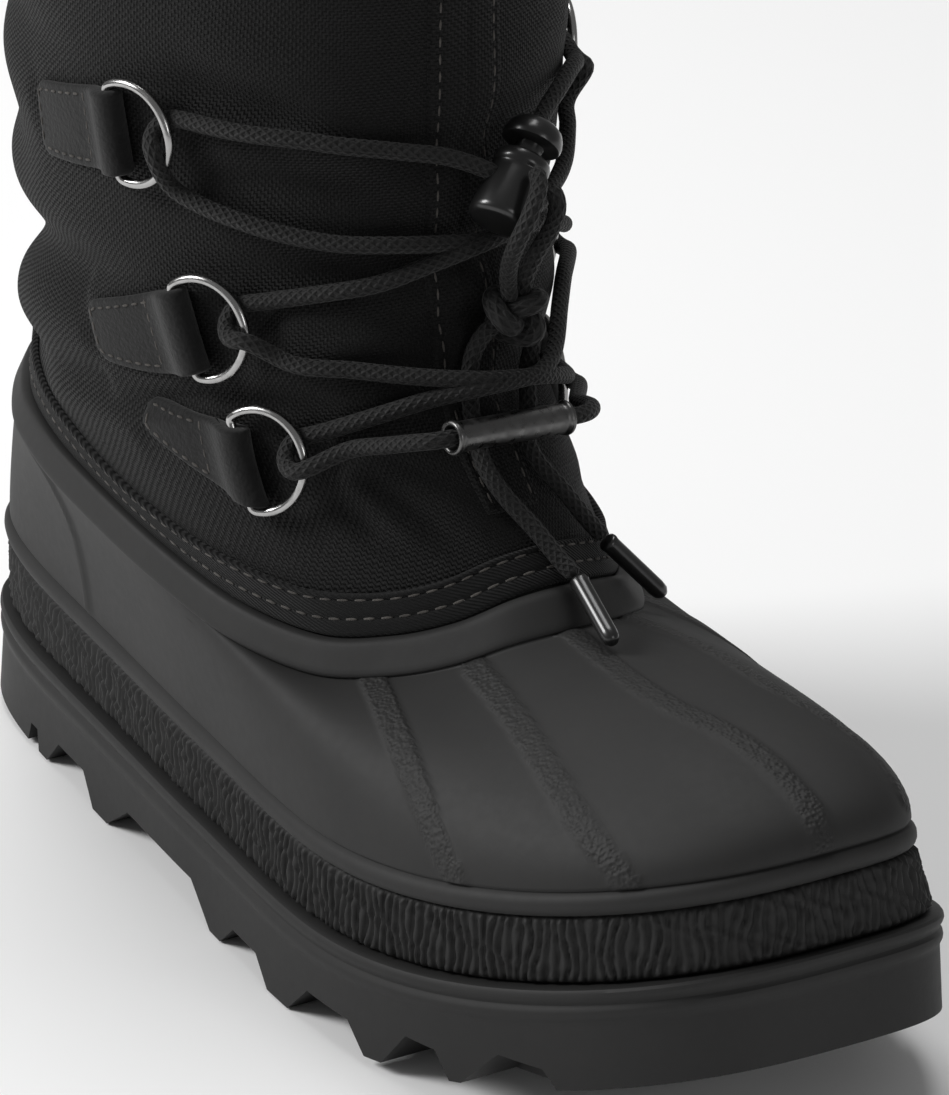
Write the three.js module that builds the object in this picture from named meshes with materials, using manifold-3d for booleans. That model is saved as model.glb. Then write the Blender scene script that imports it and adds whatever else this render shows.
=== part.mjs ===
/**
 * Snow boot, right foot: a moulded rubber shell on a lugged outsole, with a laced nylon shaft.
 *
 * Frame: +X to the toe, +Y to the inner side of the foot, +Z up, millimetres. The sole stands on z = 0.
 * "turn" is the angle round the foot, in radians: 0 at the toe, a quarter turn at the inner side.
 */
import * as THREE from 'three';
import { mergeVertices } from 'three/addons/utils/BufferGeometryUtils.js';
import Module from 'manifold-3d';

const wasm = await Module();
wasm.setup();

// ---------------------------------------------------------------- driving dimensions
const GAP = 0.3; // between pieces that meet
const LENGTH = 315; // over the shell's bead
const TOE_SQUARENESS = 2.87;
const HEEL_SQUARENESS = 3.6;
const TOE_SWING = 13; // how far the toe leans to the inner side
const SWING_START = -0.2; // share of the half length

const TOE_LEAN = { turn: 0.6, sole: 2.6, bead: -3 };

const TOE_SPRING = { from: 40, over: 117.5, rise: 23.3 };
const HEEL_LIFT = { from: -90, over: 67.5, rise: 4 };

const SOLE_TOP = 24.5; // outsole's top face, before the toe spring
const BEAD_HEIGHT = 43.8; // shell's bead, before the toe spring
const RUBBER = 3; // shell wall
const FABRIC = 3; // padded shaft wall
const HEM_DEPTH = 13; // how far the shaft reaches down inside the shell
const RIM_BAND = 7.5; // height of the raised band under the rim
const INSOLE = { thickness: 5, inset: 6.2 };

const AROUND = 52; // facets round the boot

/** Half widths of the sole: u runs from the heel, -1, to the toe, 1. */
const WIDTHS = [
  { u: -1.0, outer: 39.8, inner: 39.8 },
  { u: -0.6, outer: 39.8, inner: 39.8 },
  { u: -0.1, outer: 49.0, inner: 46.0 },
  { u: 0.42, outer: 60.9, inner: 55.0 },
  { u: 1.0, outer: 60.9, inner: 55.0 },
];

/** The shell's rim, its outer edge, at turns in degrees; the throat leans to the inner side. */
const RIM = [
  { turn: -180, x: -138.0, y: 0.0, z: 104.0 },
  { turn: -162, x: -130.5, y: -24.0, z: 101.5 },
  { turn: -144, x: -111.0, y: -40.0, z: 97.5 },
  { turn: -126, x: -86.0, y: -48.0, z: 95.0 },
  { turn: -108, x: -58.0, y: -50.5, z: 91.2 },
  { turn: -90, x: -26.0, y: -50.5, z: 86.6 },
  { turn: -72, x: 2.0, y: -47.5, z: 82.8 },
  { turn: -56, x: 24.0, y: -39.5, z: 81.2 },
  { turn: -42, x: 38.0, y: -29.0, z: 84.0 },
  { turn: -28, x: 48.0, y: -18.5, z: 88.5 },
  { turn: -14, x: 54.8, y: -8.0, z: 94.0 },
  { turn: 0, x: 57.5, y: 2.0, z: 96.0 },
  { turn: 14, x: 56.5, y: 11.5, z: 95.3 },
  { turn: 28, x: 51.5, y: 21.5, z: 92.5 },
  { turn: 42, x: 43.0, y: 30.5, z: 88.5 },
  { turn: 56, x: 28.0, y: 40.0, z: 85.5 },
  { turn: 72, x: 4.0, y: 47.5, z: 85.0 },
  { turn: 90, x: -26.0, y: 50.5, z: 87.5 },
  { turn: 108, x: -58.0, y: 50.5, z: 92.0 },
  { turn: 126, x: -86.0, y: 48.0, z: 95.0 },
  { turn: 144, x: -111.0, y: 40.0, z: 97.5 },
  { turn: 162, x: -130.5, y: 24.0, z: 101.5 },
];

/** How the shell is drawn in from its bead to its rim: fuller domes have a higher fullness. */
const DOME = [
  { u: -1.0, fullness: 1.5, rimFlare: 2.2, hemTuck: 1.0 },
  { u: -0.6, fullness: 1.4, rimFlare: 1.2, hemTuck: 4.5 },
  { u: -0.2, fullness: 1.4, rimFlare: 1.0, hemTuck: 4.0 },
  { u: 0.2, fullness: 1.5, rimFlare: 1.2, hemTuck: 1.5 },
  { u: 0.6, fullness: 1.9, rimFlare: 2.6, hemTuck: 0.0 },
  { u: 1.0, fullness: 2.3, rimFlare: 5.0, hemTuck: 0.0 },
];

/** Level sections of the shaft above the rim; share is the way up from the rim to the collar. */
const SHAFT = [
  { share: 0.2, front: 30.0, back: -138.0, half: 51.0, middle: -1.5, frontZ: 128, sideZ: 115, backZ: 138 },
  { share: 0.42, front: 19.0, back: -136.0, half: 55.5, middle: 0.0, frontZ: 163, sideZ: 152, backZ: 168 },
  { share: 0.72, front: 17.0, back: -134.0, half: 59.5, middle: 1.5, frontZ: 212, sideZ: 208, backZ: 214 },
  { share: 1.0, front: 19.0, back: -135.0, half: 60.0, middle: 1.5, frontZ: 262, sideZ: 262, backZ: 262 },
];

/** Grooves between the lugs, in from both sides of the tread; each end closes by `taper` at the roof. */
const SIDE_GROOVES = [
  { from: -118, to: -111, taper: 1.5, depth: 5 },
  { from: -106, to: -76, taper: 7, depth: 7 },
  { from: -67, to: -4, taper: 12, depth: 8 },
  { from: 2, to: 29, taper: 7, depth: 6 },
  { from: 40, to: 73, taper: 8, depth: 7.5 },
  { from: 79, to: 100, taper: 6, depth: 7.5 },
  { from: 105, to: 128, taper: 6, depth: 6.5 },
];

/** Narrower grooves across the middle of the tread. */
const MIDDLE_GROOVES = [
  { from: -104, to: -96, taper: 1.5, depth: 6 },
  { from: -62, to: -14, taper: 6, depth: 6 },
  { from: 16, to: 24, taper: 1.5, depth: 6 },
  { from: 50, to: 58, taper: 1.5, depth: 6 },
  { from: 84, to: 92, taper: 1.5, depth: 6 },
];
const CHANNEL = { outer: -24, inner: -30, depth: 6 }; // between the side lugs and the middle ones
const CUT_BELOW = 4; // cutters start this far under the tread

/** Ring fastenings, outer and inner side: place on the shaft, tilt of the pull, far end of the tab. */
const FASTENINGS = [
  { name: 'top', outer: 71.8, inner: 75, share: 0.61, tilt: 6.6, length: 31, farHeight: 17, farRise: -0.5 },
  { name: 'middle', outer: 58.9, inner: 76, share: 0.356, tilt: 11.7, length: 31, farHeight: 13, farRise: 2 },
  { name: 'bottom', outer: 53.1, inner: 70, share: 0.18, tilt: 11.7, length: 27, farHeight: 9, farRise: 4 },
];
const RING = { radius: 11.8, wire: 1.15, middle: 5, dip: 4 }; // dip in degrees, towards the shaft
const SLEEVE = { outer: 3.2, bore: 1.5, length: 18.4, lift: 3.9 };
const TAB = { thickness: 1.8, lift: 0.8, nearHeight: 20 };

const CORD_RADIUS = 2;
const TUBE = { radius: 3.6, bore: 2.75, from: [40.3, -15.0, 130.5], to: [37.5, 17.4, 127.8] };
const AGLET_RADIUS = 2.3;

/** Routes of the lace over the front of the shaft, from the outer side to the inner side. */
const LACE_TOP_OUTER = [
  [-16.5, -51.0, 190.3], [-4.7, -43.7, 194.1], [6.3, -33.6, 193.7], [17.7, -14.1, 190.9], [20.6, -4.0, 189.0],
  [20.2, 1.5, 186.5],
];
const LACE_TOP_INNER = [
  [12.2, 26.0, 190.5], [6.5, 34.5, 193.6], [-3.5, 44.6, 194.2], [-12.5, 51.2, 191.8], [-19.4, 54.8, 190.0],
];
const LACE_UPPER_FALL = [
  [-18.0, -51.3, 177.4], [-2.3, -41.4, 172.5], [10.8, -28.6, 169.9], [18.5, -15.7, 169.4],
  [21.5, -2.5, 168.3],
  [21.8, 7.0, 167.4], [17.9, 16.8, 167.5], [10.4, 30.0, 163.5], [-0.5, 40.9, 157.5],
  [-18.3, 50.5, 149.6],
];
const LACE_UPPER_RISE = [
  [0.1, -40.8, 152.4], [11.7, -29.1, 158.5], [17.6, -19.7, 160.7], [21.1, -8.8, 164.2], [23.2, 0.5, 166.9],
  [22.6, 9.5, 168.6], [19.0, 20.0, 171.6], [3.4, 37.6, 172.8], [-14.0, 50.4, 176.0],
  [-20.6, 54.2, 179.0],
];
const LACE_LOWER_FALL = [
  [0.5, -41.0, 142.3], [7.1, -36.7, 141.9], [17.1, -27.2, 141.5], [27.0, -14.8, 140.6], [33.4, -2.9, 139.7],
  [33.8, 6.0, 138.4], [32.2, 14.0, 136.8], [25.0, 24.2, 132.4], [15.5, 31.6, 127.8],
  [-2.3, 42.1, 122.4],
];
const LACE_LOWER_RISE = [
  [15.8, -33.6, 127.0], [24.7, -21.4, 132.8], [29.2, -13.4, 135.7], [34.2, -3.0, 138.1], [34.0, 6.0, 138.0],
  [32.0, 14.0, 137.7], [26.0, 21.4, 139.3], [12.7, 31.4, 143.6], [1.5, 39.6, 145.2],
  [-17.4, 49.6, 144.3],
];
const LACE_BOTTOM_OUTER = [
  [15.2, -34.6, 121.8], [22.0, -30.4, 124.6], [30.5, -25.6, 127.6], [37.2, -22.0, 129.9],
  [40.7, -18.6, 130.8],
];
const LACE_BOTTOM_INNER = [
  [37.2, 21.0, 127.5], [34.6, 25.6, 126.6], [29.6, 29.4, 125.2], [23.6, 31.4, 123.4], [16.0, 34.4, 120.8],
  [-1.6, 42.5, 116.7],
];

/** The cord lock on the lace: foot and head of its axis, and the turned profiles of barrel and button. */
const LOCK = { foot: [31.2, 2.4, 175.2], head: [21.9, 19.3, 192.6] };
const BARREL = { bore: 3.6, floor: 5, height: 17 };
const BUTTON = { stem: 3.2, stemEnd: 8.6, travel: 3, clearance: 0.3 };

/** Lace below the lock: two drops to the knot, and the two ends that hang from it. */
const DROP_OUTER = [
  [34.0, 10.4, 187.6], [38.0, 9.0, 184.7], [40.4, 5.2, 179.5], [38.9, 3.2, 173.5], [34.4, 4.0, 167.0],
  [30.6, 5.9, 160.6], [29.6, 7.3, 155.0],
];
const DROP_INNER = [
  [32.5, 15.6, 182.2], [35.0, 15.9, 178.4], [33.9, 15.4, 173.0], [31.4, 13.4, 167.0],
  [29.4, 11.4, 160.6], [29.1, 10.2, 155.0],
];
const KNOT = { middle: [28.9, 9.0, 151.6], radii: [6.6, 8.2, 7.6] };
const END_OUTER = [
  [26.8, 0.6, 146.4], [27.4, -1.8, 141.4], [30.3, -3.6, 133.8], [33.5, -4.5, 127.9], [37.9, -4.6, 121.0],
  [43.9, -2.7, 115.0], [49.5, 1.5, 108.4], [54.9, 4.8, 102.2], [59.4, 6.6, 99.0],
];
const END_INNER = [
  [25.5, 15.7, 143.0], [26.9, 13.6, 136.0], [30.6, 11.6, 129.4], [34.6, 8.8, 123.6], [38.2, 9.4, 118.9],
  [42.6, 13.3, 113.0], [45.8, 17.5, 106.4], [47.6, 21.6, 101.0],
];
const AGLET_OUTER = { from: [60.0, 6.5, 98.6], to: [79.0, 3.5, 91.2] };
const AGLET_INNER = { from: [47.8, 22.0, 100.4], to: [51.6, 35.2, 85.6] };

/** Cross section of the shell's foot: out from the outline, and height before the toe spring. */
const FOXING = [
  { out: -2.2, z: SOLE_TOP + GAP },
  { out: -2.2, z: 40.6 },
  { out: -0.6, z: 42.0 },
  { out: 0.0, z: BEAD_HEIGHT },
  { out: -0.6, z: 45.6 },
  { out: -1.3, z: 47.0 },
];

/** Cross section of the outsole's wall, from the tread up. */
const SOLE_WALL = [
  { out: 1.6, z: 0.0 },
  { out: 0.6, z: 16.0 },
  { out: 0.9, z: 17.0 },
  { out: 1.1, z: 18.6 },
  { out: 0.5, z: 20.2 },
  { out: 1.2, z: 22.2 },
  { out: 0.6, z: 23.9 },
  { out: -0.8, z: SOLE_TOP },
];

// ---------------------------------------------------------------- numbers
const clamp = (value, low, high) => Math.min(Math.max(value, low), high);

/** Smooth cubic through the rows of a table: the value of a column where the key is `at`. */
function lookUp(rows, key, column, at) {
  const last = rows.length - 1;
  const t = clamp(at, rows[0][key], rows[last][key]);
  let i = 0;
  while (i < last - 1 && t > rows[i + 1][key]) i += 1;
  const slope = (j) => {
    const before = rows[Math.max(j - 1, 0)];
    const after = rows[Math.min(j + 1, last)];
    return (after[column] - before[column]) / (after[key] - before[key]);
  };
  const span = rows[i + 1][key] - rows[i][key];
  const s = (t - rows[i][key]) / span;
  const rise = rows[i + 1][column] - rows[i][column];
  const bend0 = slope(i) * span - rise;
  const bend1 = rise - slope(i + 1) * span;
  return rows[i][column] + s * rise + s * (1 - s) * (bend0 * (1 - s) + bend1 * s);
}

/** Height that the sole gains towards the toe tip and the heel tip. */
function spring(x) {
  const toe = clamp((x - TOE_SPRING.from) / TOE_SPRING.over, 0, 1.1);
  const heel = clamp((HEEL_LIFT.from - x) / HEEL_LIFT.over, 0, 1.1);
  return TOE_SPRING.rise * toe ** 2 + HEEL_LIFT.rise * heel ** 2;
}

/** A point of the sole's outline, grown outwards by `out`. */
function outline(turn, out) {
  const u = Math.cos(turn);
  const power = u > 0 ? TOE_SQUARENESS : HEEL_SQUARENESS;
  const v = Math.max(0, 1 - Math.abs(u) ** power) ** (1 / power);
  const inner = Math.sin(turn) > 0;
  const half = lookUp(WIDTHS, 'u', inner ? 'inner' : 'outer', u) + out;
  const swing = TOE_SWING * clamp((u - SWING_START) / (1 - SWING_START), 0, 1) ** 2;
  return { x: (LENGTH / 2 + out) * u, y: (inner ? v : -v) * half + swing };
}

/** A point of the outline at a height above the tread; the wall leans in at the toe's inner corner. */
function solePoint(turn, out, height) {
  const corner = Math.max(Math.cos(turn - TOE_LEAN.turn), 0) ** 3;
  const share = clamp((height - SOLE_TOP) / (BEAD_HEIGHT - SOLE_TOP), 0, 1);
  const lean = corner * THREE.MathUtils.lerp(TOE_LEAN.sole, TOE_LEAN.bead, share);
  const { x, y } = outline(turn, out + lean);
  return new THREE.Vector3(x, y, height + spring(x));
}

/** Turns round the foot, with even steps along the outline, the same on both sides. */
function evenTurns(count) {
  const fine = 720;
  const lengths = [0];
  let before = outline(0, 0);
  for (let i = 1; i <= fine; i += 1) {
    const next = outline((Math.PI * i) / fine, 0);
    lengths.push(lengths[i - 1] + Math.hypot(next.x - before.x, next.y - before.y));
    before = next;
  }
  const half = [];
  let i = 0;
  for (let k = 0; k <= count / 2; k += 1) {
    const wanted = (lengths[fine] * k) / (count / 2);
    while (i < fine && lengths[i] < wanted) i += 1;
    half.push((Math.PI * i) / fine);
  }
  const back = half.slice(1, -1).reverse().map((turn) => 2 * Math.PI - turn);
  return [...half, ...back];
}

// ---------------------------------------------------------------- surfaces of the upper
const RIM_LOOP = [
  { ...RIM[RIM.length - 1], turn: -198 },
  ...RIM,
  { ...RIM[0], turn: 180 },
  { ...RIM[1], turn: 198 },
];

/** The rim's outer edge. */
function rimEdge(turn) {
  const degrees = THREE.MathUtils.radToDeg(Math.atan2(Math.sin(turn), Math.cos(turn)));
  const read = (column) => lookUp(RIM_LOOP, 'turn', column, degrees);
  return new THREE.Vector3(read('x'), read('y'), read('z'));
}

/** Level direction that points out of the rim. */
function rimOut(turn) {
  const step = 0.03;
  const along = rimEdge(turn + step).sub(rimEdge(turn - step));
  return new THREE.Vector3(along.y, -along.x, 0).normalize();
}

/** Foot of the rim's raised band, where the dome of the shell ends. */
function rimFoot(turn) {
  const flare = lookUp(DOME, 'u', 'rimFlare', Math.cos(turn));
  return rimEdge(turn).addScaledVector(rimOut(turn), flare).add(new THREE.Vector3(0, 0, -RIM_BAND));
}

/** The shell's outer face between its bead, climb 0, and the foot of the rim band, climb 1. */
function dome(turn, climb) {
  const { out, z } = FOXING[FOXING.length - 1];
  const low = solePoint(turn, out, z);
  const high = rimFoot(turn);
  const fullness = lookUp(DOME, 'u', 'fullness', Math.cos(turn));
  const angle = (climb * Math.PI) / 2;
  const inward = 1 - Math.cos(angle) ** (2 / fullness);
  const upward = Math.sin(angle) ** (2 / fullness);
  return new THREE.Vector3(
    THREE.MathUtils.lerp(low.x, high.x, inward),
    THREE.MathUtils.lerp(low.y, high.y, inward),
    THREE.MathUtils.lerp(low.z, high.z, upward),
  );
}

/** The shaft's outer face, from the rim, share 0, to the collar, share 1. */
function shaftFace(turn, share) {
  const start = rimEdge(turn).addScaledVector(rimOut(turn), -(RUBBER + GAP));
  const forward = Math.max(Math.cos(turn), 0) ** 2;
  const rearward = Math.max(-Math.cos(turn), 0) ** 2;
  const rows = SHAFT.map((row) => ({
    share: row.share,
    x: (row.front + row.back) / 2 + ((row.front - row.back) / 2) * Math.cos(turn),
    y: row.middle + row.half * Math.sin(turn),
    z: row.sideZ + (row.frontZ - row.sideZ) * forward + (row.backZ - row.sideZ) * rearward,
  }));
  rows.unshift({ share: 0, x: start.x, y: start.y, z: start.z });
  const read = (column) => lookUp(rows, 'share', column, share);
  return new THREE.Vector3(read('x'), read('y'), read('z'));
}

/** A face moved inwards by a thickness, along its own normal. */
function inset(face, turn, along, thickness) {
  const step = 0.01;
  const low = Math.max(along - step, 0.02);
  const round = face(turn + step, along).sub(face(turn - step, along));
  const up = face(turn, Math.min(low + 2 * step, 1)).sub(face(turn, low));
  const normal = round.cross(up).normalize();
  return face(turn, along).addScaledVector(normal, -thickness);
}

// ---------------------------------------------------------------- meshes and solids
/** Closed ring of skin through loops of equal length; the last loop joins the first. */
function ringSkin(loops) {
  const around = loops[0].length;
  const points = loops.flat();
  const faces = [];
  for (let row = 0; row < loops.length; row += 1) {
    const above = (row + 1) % loops.length;
    for (let i = 0; i < around; i += 1) {
      const j = (i + 1) % around;
      const corners = [row * around + i, row * around + j, above * around + j, above * around + i];
      faces.push(corners[0], corners[1], corners[2], corners[0], corners[2], corners[3]);
    }
  }
  return skin(points, faces);
}

/** Solid through loops of equal length, its two ends closed by strips across the foot. */
function stackSkin(loops) {
  const around = loops[0].length;
  const points = loops.flat();
  const faces = [];
  for (let row = 0; row < loops.length - 1; row += 1) {
    for (let i = 0; i < around; i += 1) {
      const j = (i + 1) % around;
      const a = row * around;
      const b = a + around;
      faces.push(a + i, a + j, b + j, a + i, b + j, b + i);
    }
  }
  const top = (loops.length - 1) * around;
  for (let i = 0; i < around / 2; i += 1) {
    const mate = (k) => (around - k) % around;
    const quad = [i, i + 1, mate(i + 1), mate(i)];
    for (const [a, b, c] of [[quad[0], quad[1], quad[2]], [quad[0], quad[2], quad[3]]]) {
      if (a === b || b === c || c === a) continue;
      faces.push(top + a, top + b, top + c);
      faces.push(c, b, a);
    }
  }
  return skin(points, faces);
}

function skin(points, faces) {
  const geometry = new THREE.BufferGeometry();
  geometry.setAttribute('position', new THREE.Float32BufferAttribute(points.flatMap((p) => p.toArray()), 3));
  geometry.setIndex(faces);
  return geometry;
}

/** Solid through loops of equal length, its two ends closed by a fan. */
function tubeSkin(loops) {
  const around = loops[0].length;
  const faces = [];
  for (let row = 0; row < loops.length - 1; row += 1) {
    for (let i = 0; i < around; i += 1) {
      const j = (i + 1) % around;
      const a = row * around;
      const b = a + around;
      faces.push(a + i, a + j, b + j, a + i, b + j, b + i);
    }
  }
  const last = (loops.length - 1) * around;
  for (let i = 1; i < around / 2; i += 1) {
    const mate = around - 1 - i;
    for (const [a, b, c] of [[i - 1, i, mate], [i - 1, mate, mate + 1]]) {
      faces.push(c, b, a);
      faces.push(last + a, last + b, last + c);
    }
  }
  return skin(loops.flat(), faces);
}

/** The geometry with its faces pointing out. */
function outward(geometry) {
  const merged = toMerged(geometry);
  const { position } = merged.attributes;
  const index = merged.index.array;
  const [a, b, c] = [new THREE.Vector3(), new THREE.Vector3(), new THREE.Vector3()];
  let volume = 0;
  for (let i = 0; i < index.length; i += 3) {
    a.fromBufferAttribute(position, index[i]);
    b.fromBufferAttribute(position, index[i + 1]);
    c.fromBufferAttribute(position, index[i + 2]);
    volume += a.dot(b.cross(c));
  }
  if (volume < 0) {
    for (let i = 0; i < index.length; i += 3) [index[i], index[i + 1]] = [index[i + 1], index[i]];
  }
  return merged;
}

/** The geometry with each place once, and no facet that has shrunk to a line. */
function toMerged(geometry) {
  const bare = geometry.clone();
  bare.deleteAttribute('normal');
  bare.deleteAttribute('uv');
  const merged = mergeVertices(bare, 1e-4);
  const old = merged.index.array;
  const kept = [];
  for (let i = 0; i < old.length; i += 3) {
    const [a, b, c] = [old[i], old[i + 1], old[i + 2]];
    if (a !== b && b !== c && c !== a) kept.push(a, b, c);
  }
  merged.setIndex(kept);
  return merged;
}

/** A three.js geometry as a manifold solid. */
function toSolid(geometry) {
  const merged = toMerged(geometry);
  const vertProperties = new Float32Array(merged.attributes.position.array);
  const triVerts = new Uint32Array(merged.index.array);
  return new wasm.Manifold(new wasm.Mesh({ numProp: 3, vertProperties, triVerts }));
}

/** A manifold solid as a three.js geometry. */
function fromSolid(solid) {
  const mesh = solid.getMesh();
  const geometry = new THREE.BufferGeometry();
  geometry.setAttribute('position', new THREE.BufferAttribute(mesh.vertProperties, 3));
  geometry.setIndex(new THREE.BufferAttribute(mesh.triVerts, 1));
  return geometry;
}

// ---------------------------------------------------------------- sole
function insole(turns) {
  const floor = SOLE_TOP + GAP;
  const levels = [floor, floor + INSOLE.thickness];
  return stackSkin(levels.map((z) => turns.map((turn) => solePoint(turn, -INSOLE.inset, z))));
}

/** Wedge that cuts one groove, between two distances across the foot. */
function grooveCutter(row, nearY, farY) {
  const ground = spring((row.from + row.to) / 2);
  const spread = (row.taper * CUT_BELOW) / row.depth;
  const section = [
    [row.from - spread, ground - CUT_BELOW], [row.to + spread, ground - CUT_BELOW],
    [row.to - row.taper, ground + row.depth], [row.from + row.taper, ground + row.depth],
  ];
  const loops = [nearY, farY].map((y) => section.map(([x, z]) => new THREE.Vector3(x, y, z)));
  return toSolid(outward(tubeSkin(loops)));
}

/** Channel that runs round the tread, inside the side lugs. */
function channelCutter(turns) {
  const section = [
    [CHANNEL.outer, -CUT_BELOW], [CHANNEL.outer, CHANNEL.depth],
    [CHANNEL.inner, CHANNEL.depth], [CHANNEL.inner, -CUT_BELOW],
  ];
  const loops = section.map(([out, z]) => turns.map((turn) => solePoint(turn, out, z)));
  return toSolid(outward(ringSkin(loops)));
}

/** Half width of the sole on one side, where its length share is u. */
function halfWidth(x, side) {
  const u = x / (LENGTH / 2);
  return lookUp(WIDTHS, 'u', side > 0 ? 'inner' : 'outer', u);
}

function outsole(turns) {
  const loops = SOLE_WALL.map((row) => turns.map((turn) => solePoint(turn, row.out, row.z)));
  let sole = toSolid(outward(stackSkin(loops))).subtract(channelCutter(turns));
  for (const row of SIDE_GROOVES) {
    for (const side of [-1, 1]) {
      const inside = halfWidth((row.from + row.to) / 2, side) + CHANNEL.outer - 2;
      sole = sole.subtract(grooveCutter(row, side * inside, side * LENGTH));
    }
  }
  for (const row of MIDDLE_GROOVES) {
    const inside = halfWidth((row.from + row.to) / 2, 1) + CHANNEL.inner + 2;
    sole = sole.subtract(grooveCutter(row, -inside, inside));
  }
  return fromSolid(sole);
}

// ---------------------------------------------------------------- shell and shaft
function shell(turns) {
  const outside = [];
  for (const row of FOXING) outside.push(turns.map((turn) => solePoint(turn, row.out, row.z)));
  for (const climb of [0.16, 0.32, 0.5, 0.68, 0.84, 1]) outside.push(turns.map((turn) => dome(turn, climb)));
  const lip = (turn, out, up) => rimFoot(turn).lerp(rimEdge(turn), up).addScaledVector(rimOut(turn), out);
  outside.push(turns.map((turn) => lip(turn, 1.2, 0.12)));
  outside.push(turns.map((turn) => lip(turn, 0.4, 0.93)));
  outside.push(turns.map((turn) => lip(turn, -1, 1)));
  const inside = [turns.map((turn) => lip(turn, -RUBBER, 1))];
  inside.push(turns.map((turn) => lip(turn, -RUBBER, 0.45)));
  for (const climb of [0.97, 0.75, 0.5, 0.25, 0.06]) {
    inside.push(turns.map((turn) => inset(dome, turn, climb, RUBBER)));
  }
  for (const row of [FOXING[4], FOXING[0]]) {
    inside.push(turns.map((turn) => solePoint(turn, FOXING[0].out - RUBBER, row.z)));
  }
  return ringSkin([...outside, ...inside]);
}

function shaft(turns) {
  const hem = (turn, thickness, depth) => {
    const tuck = (lookUp(DOME, 'u', 'hemTuck', Math.cos(turn)) * depth) / HEM_DEPTH;
    return rimEdge(turn)
      .addScaledVector(rimOut(turn), -(RUBBER + GAP + thickness + tuck))
      .add(new THREE.Vector3(0, 0, -depth));
  };
  const outside = [turns.map((turn) => hem(turn, 0, HEM_DEPTH))];
  for (const share of [0, 0.06, 0.14, 0.24, 0.36, 0.5, 0.66, 0.82, 1]) {
    outside.push(turns.map((turn) => shaftFace(turn, share)));
  }
  const inside = [1, 0.66, 0.36, 0.14].map((share) => (
    turns.map((turn) => inset(shaftFace, turn, share, FABRIC))
  ));
  inside.push(turns.map((turn) => hem(turn, FABRIC, 0)));
  inside.push(turns.map((turn) => hem(turn, FABRIC, HEM_DEPTH)));
  return ringSkin([...outside, ...inside]);
}

// ---------------------------------------------------------------- fastenings
/** Local frame on the shaft: a point, directions round and up as millimetres per unit, and outwards. */
function shaftFrame(turn, share) {
  const step = 0.01;
  const centre = shaftFace(turn, share);
  const round = shaftFace(turn + step, share).sub(shaftFace(turn - step, share)).divideScalar(2 * step);
  const climb = shaftFace(turn, share + step).sub(shaftFace(turn, share - step)).divideScalar(2 * step);
  return { centre, round, climb, out: round.clone().cross(climb).normalize() };
}

/** Axes of one fastening: pull towards the front, bar along the ring's straight side, out from the shaft. */
function fasteningAxes(row, side) {
  const turn = side * THREE.MathUtils.degToRad(side < 0 ? row.outer : row.inner);
  const { centre, round, climb, out } = shaftFrame(turn, row.share);
  const forward = round.clone().multiplyScalar(-side).normalize();
  const up = out.clone().cross(forward).multiplyScalar(-side).normalize();
  const tilt = THREE.MathUtils.degToRad(row.tilt);
  const pull = forward.clone().multiplyScalar(Math.cos(tilt)).addScaledVector(up, Math.sin(tilt));
  const bar = up.clone().multiplyScalar(Math.cos(tilt)).addScaledVector(forward, -Math.sin(tilt));
  return { turn, centre, round, climb, out, pull, bar };
}

/** A round-wire D ring: an arc with a straight bar. */
function ring(row, side) {
  const { centre, out, pull, bar } = fasteningAxes(row, side);
  const dip = THREE.MathUtils.degToRad(RING.dip);
  const reach = pull.clone().multiplyScalar(Math.cos(dip)).addScaledVector(out, -Math.sin(dip));
  const proud = bar.clone().cross(reach).normalize();
  const origin = centre.clone().addScaledVector(out, SLEEVE.lift);
  const path = [];
  const open = Math.acos(-RING.middle / RING.radius);
  const arcSteps = 15;
  for (let i = 0; i <= arcSteps; i += 1) {
    const angle = -open + (2 * open * i) / arcSteps;
    path.push([RING.middle + RING.radius * Math.cos(angle), RING.radius * Math.sin(angle)]);
  }
  const loops = path.map(([along, across], i) => {
    const before = path[(i + path.length - 1) % path.length];
    const after = path[(i + 1) % path.length];
    const [gain, rise] = [after[0] - before[0], after[1] - before[1]];
    const tangent = reach.clone().multiplyScalar(gain).addScaledVector(bar, rise);
    const sideways = tangent.cross(proud).normalize();
    const middle = origin.clone().addScaledVector(reach, along).addScaledVector(bar, across);
    return [0, 1, 2, 3, 4, 5].map((k) => {
      const angle = (k * Math.PI) / 3;
      return middle.clone()
        .addScaledVector(sideways, RING.wire * Math.cos(angle))
        .addScaledVector(proud, RING.wire * Math.sin(angle));
    });
  });
  return outward(ringSkin(loops));
}

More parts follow.
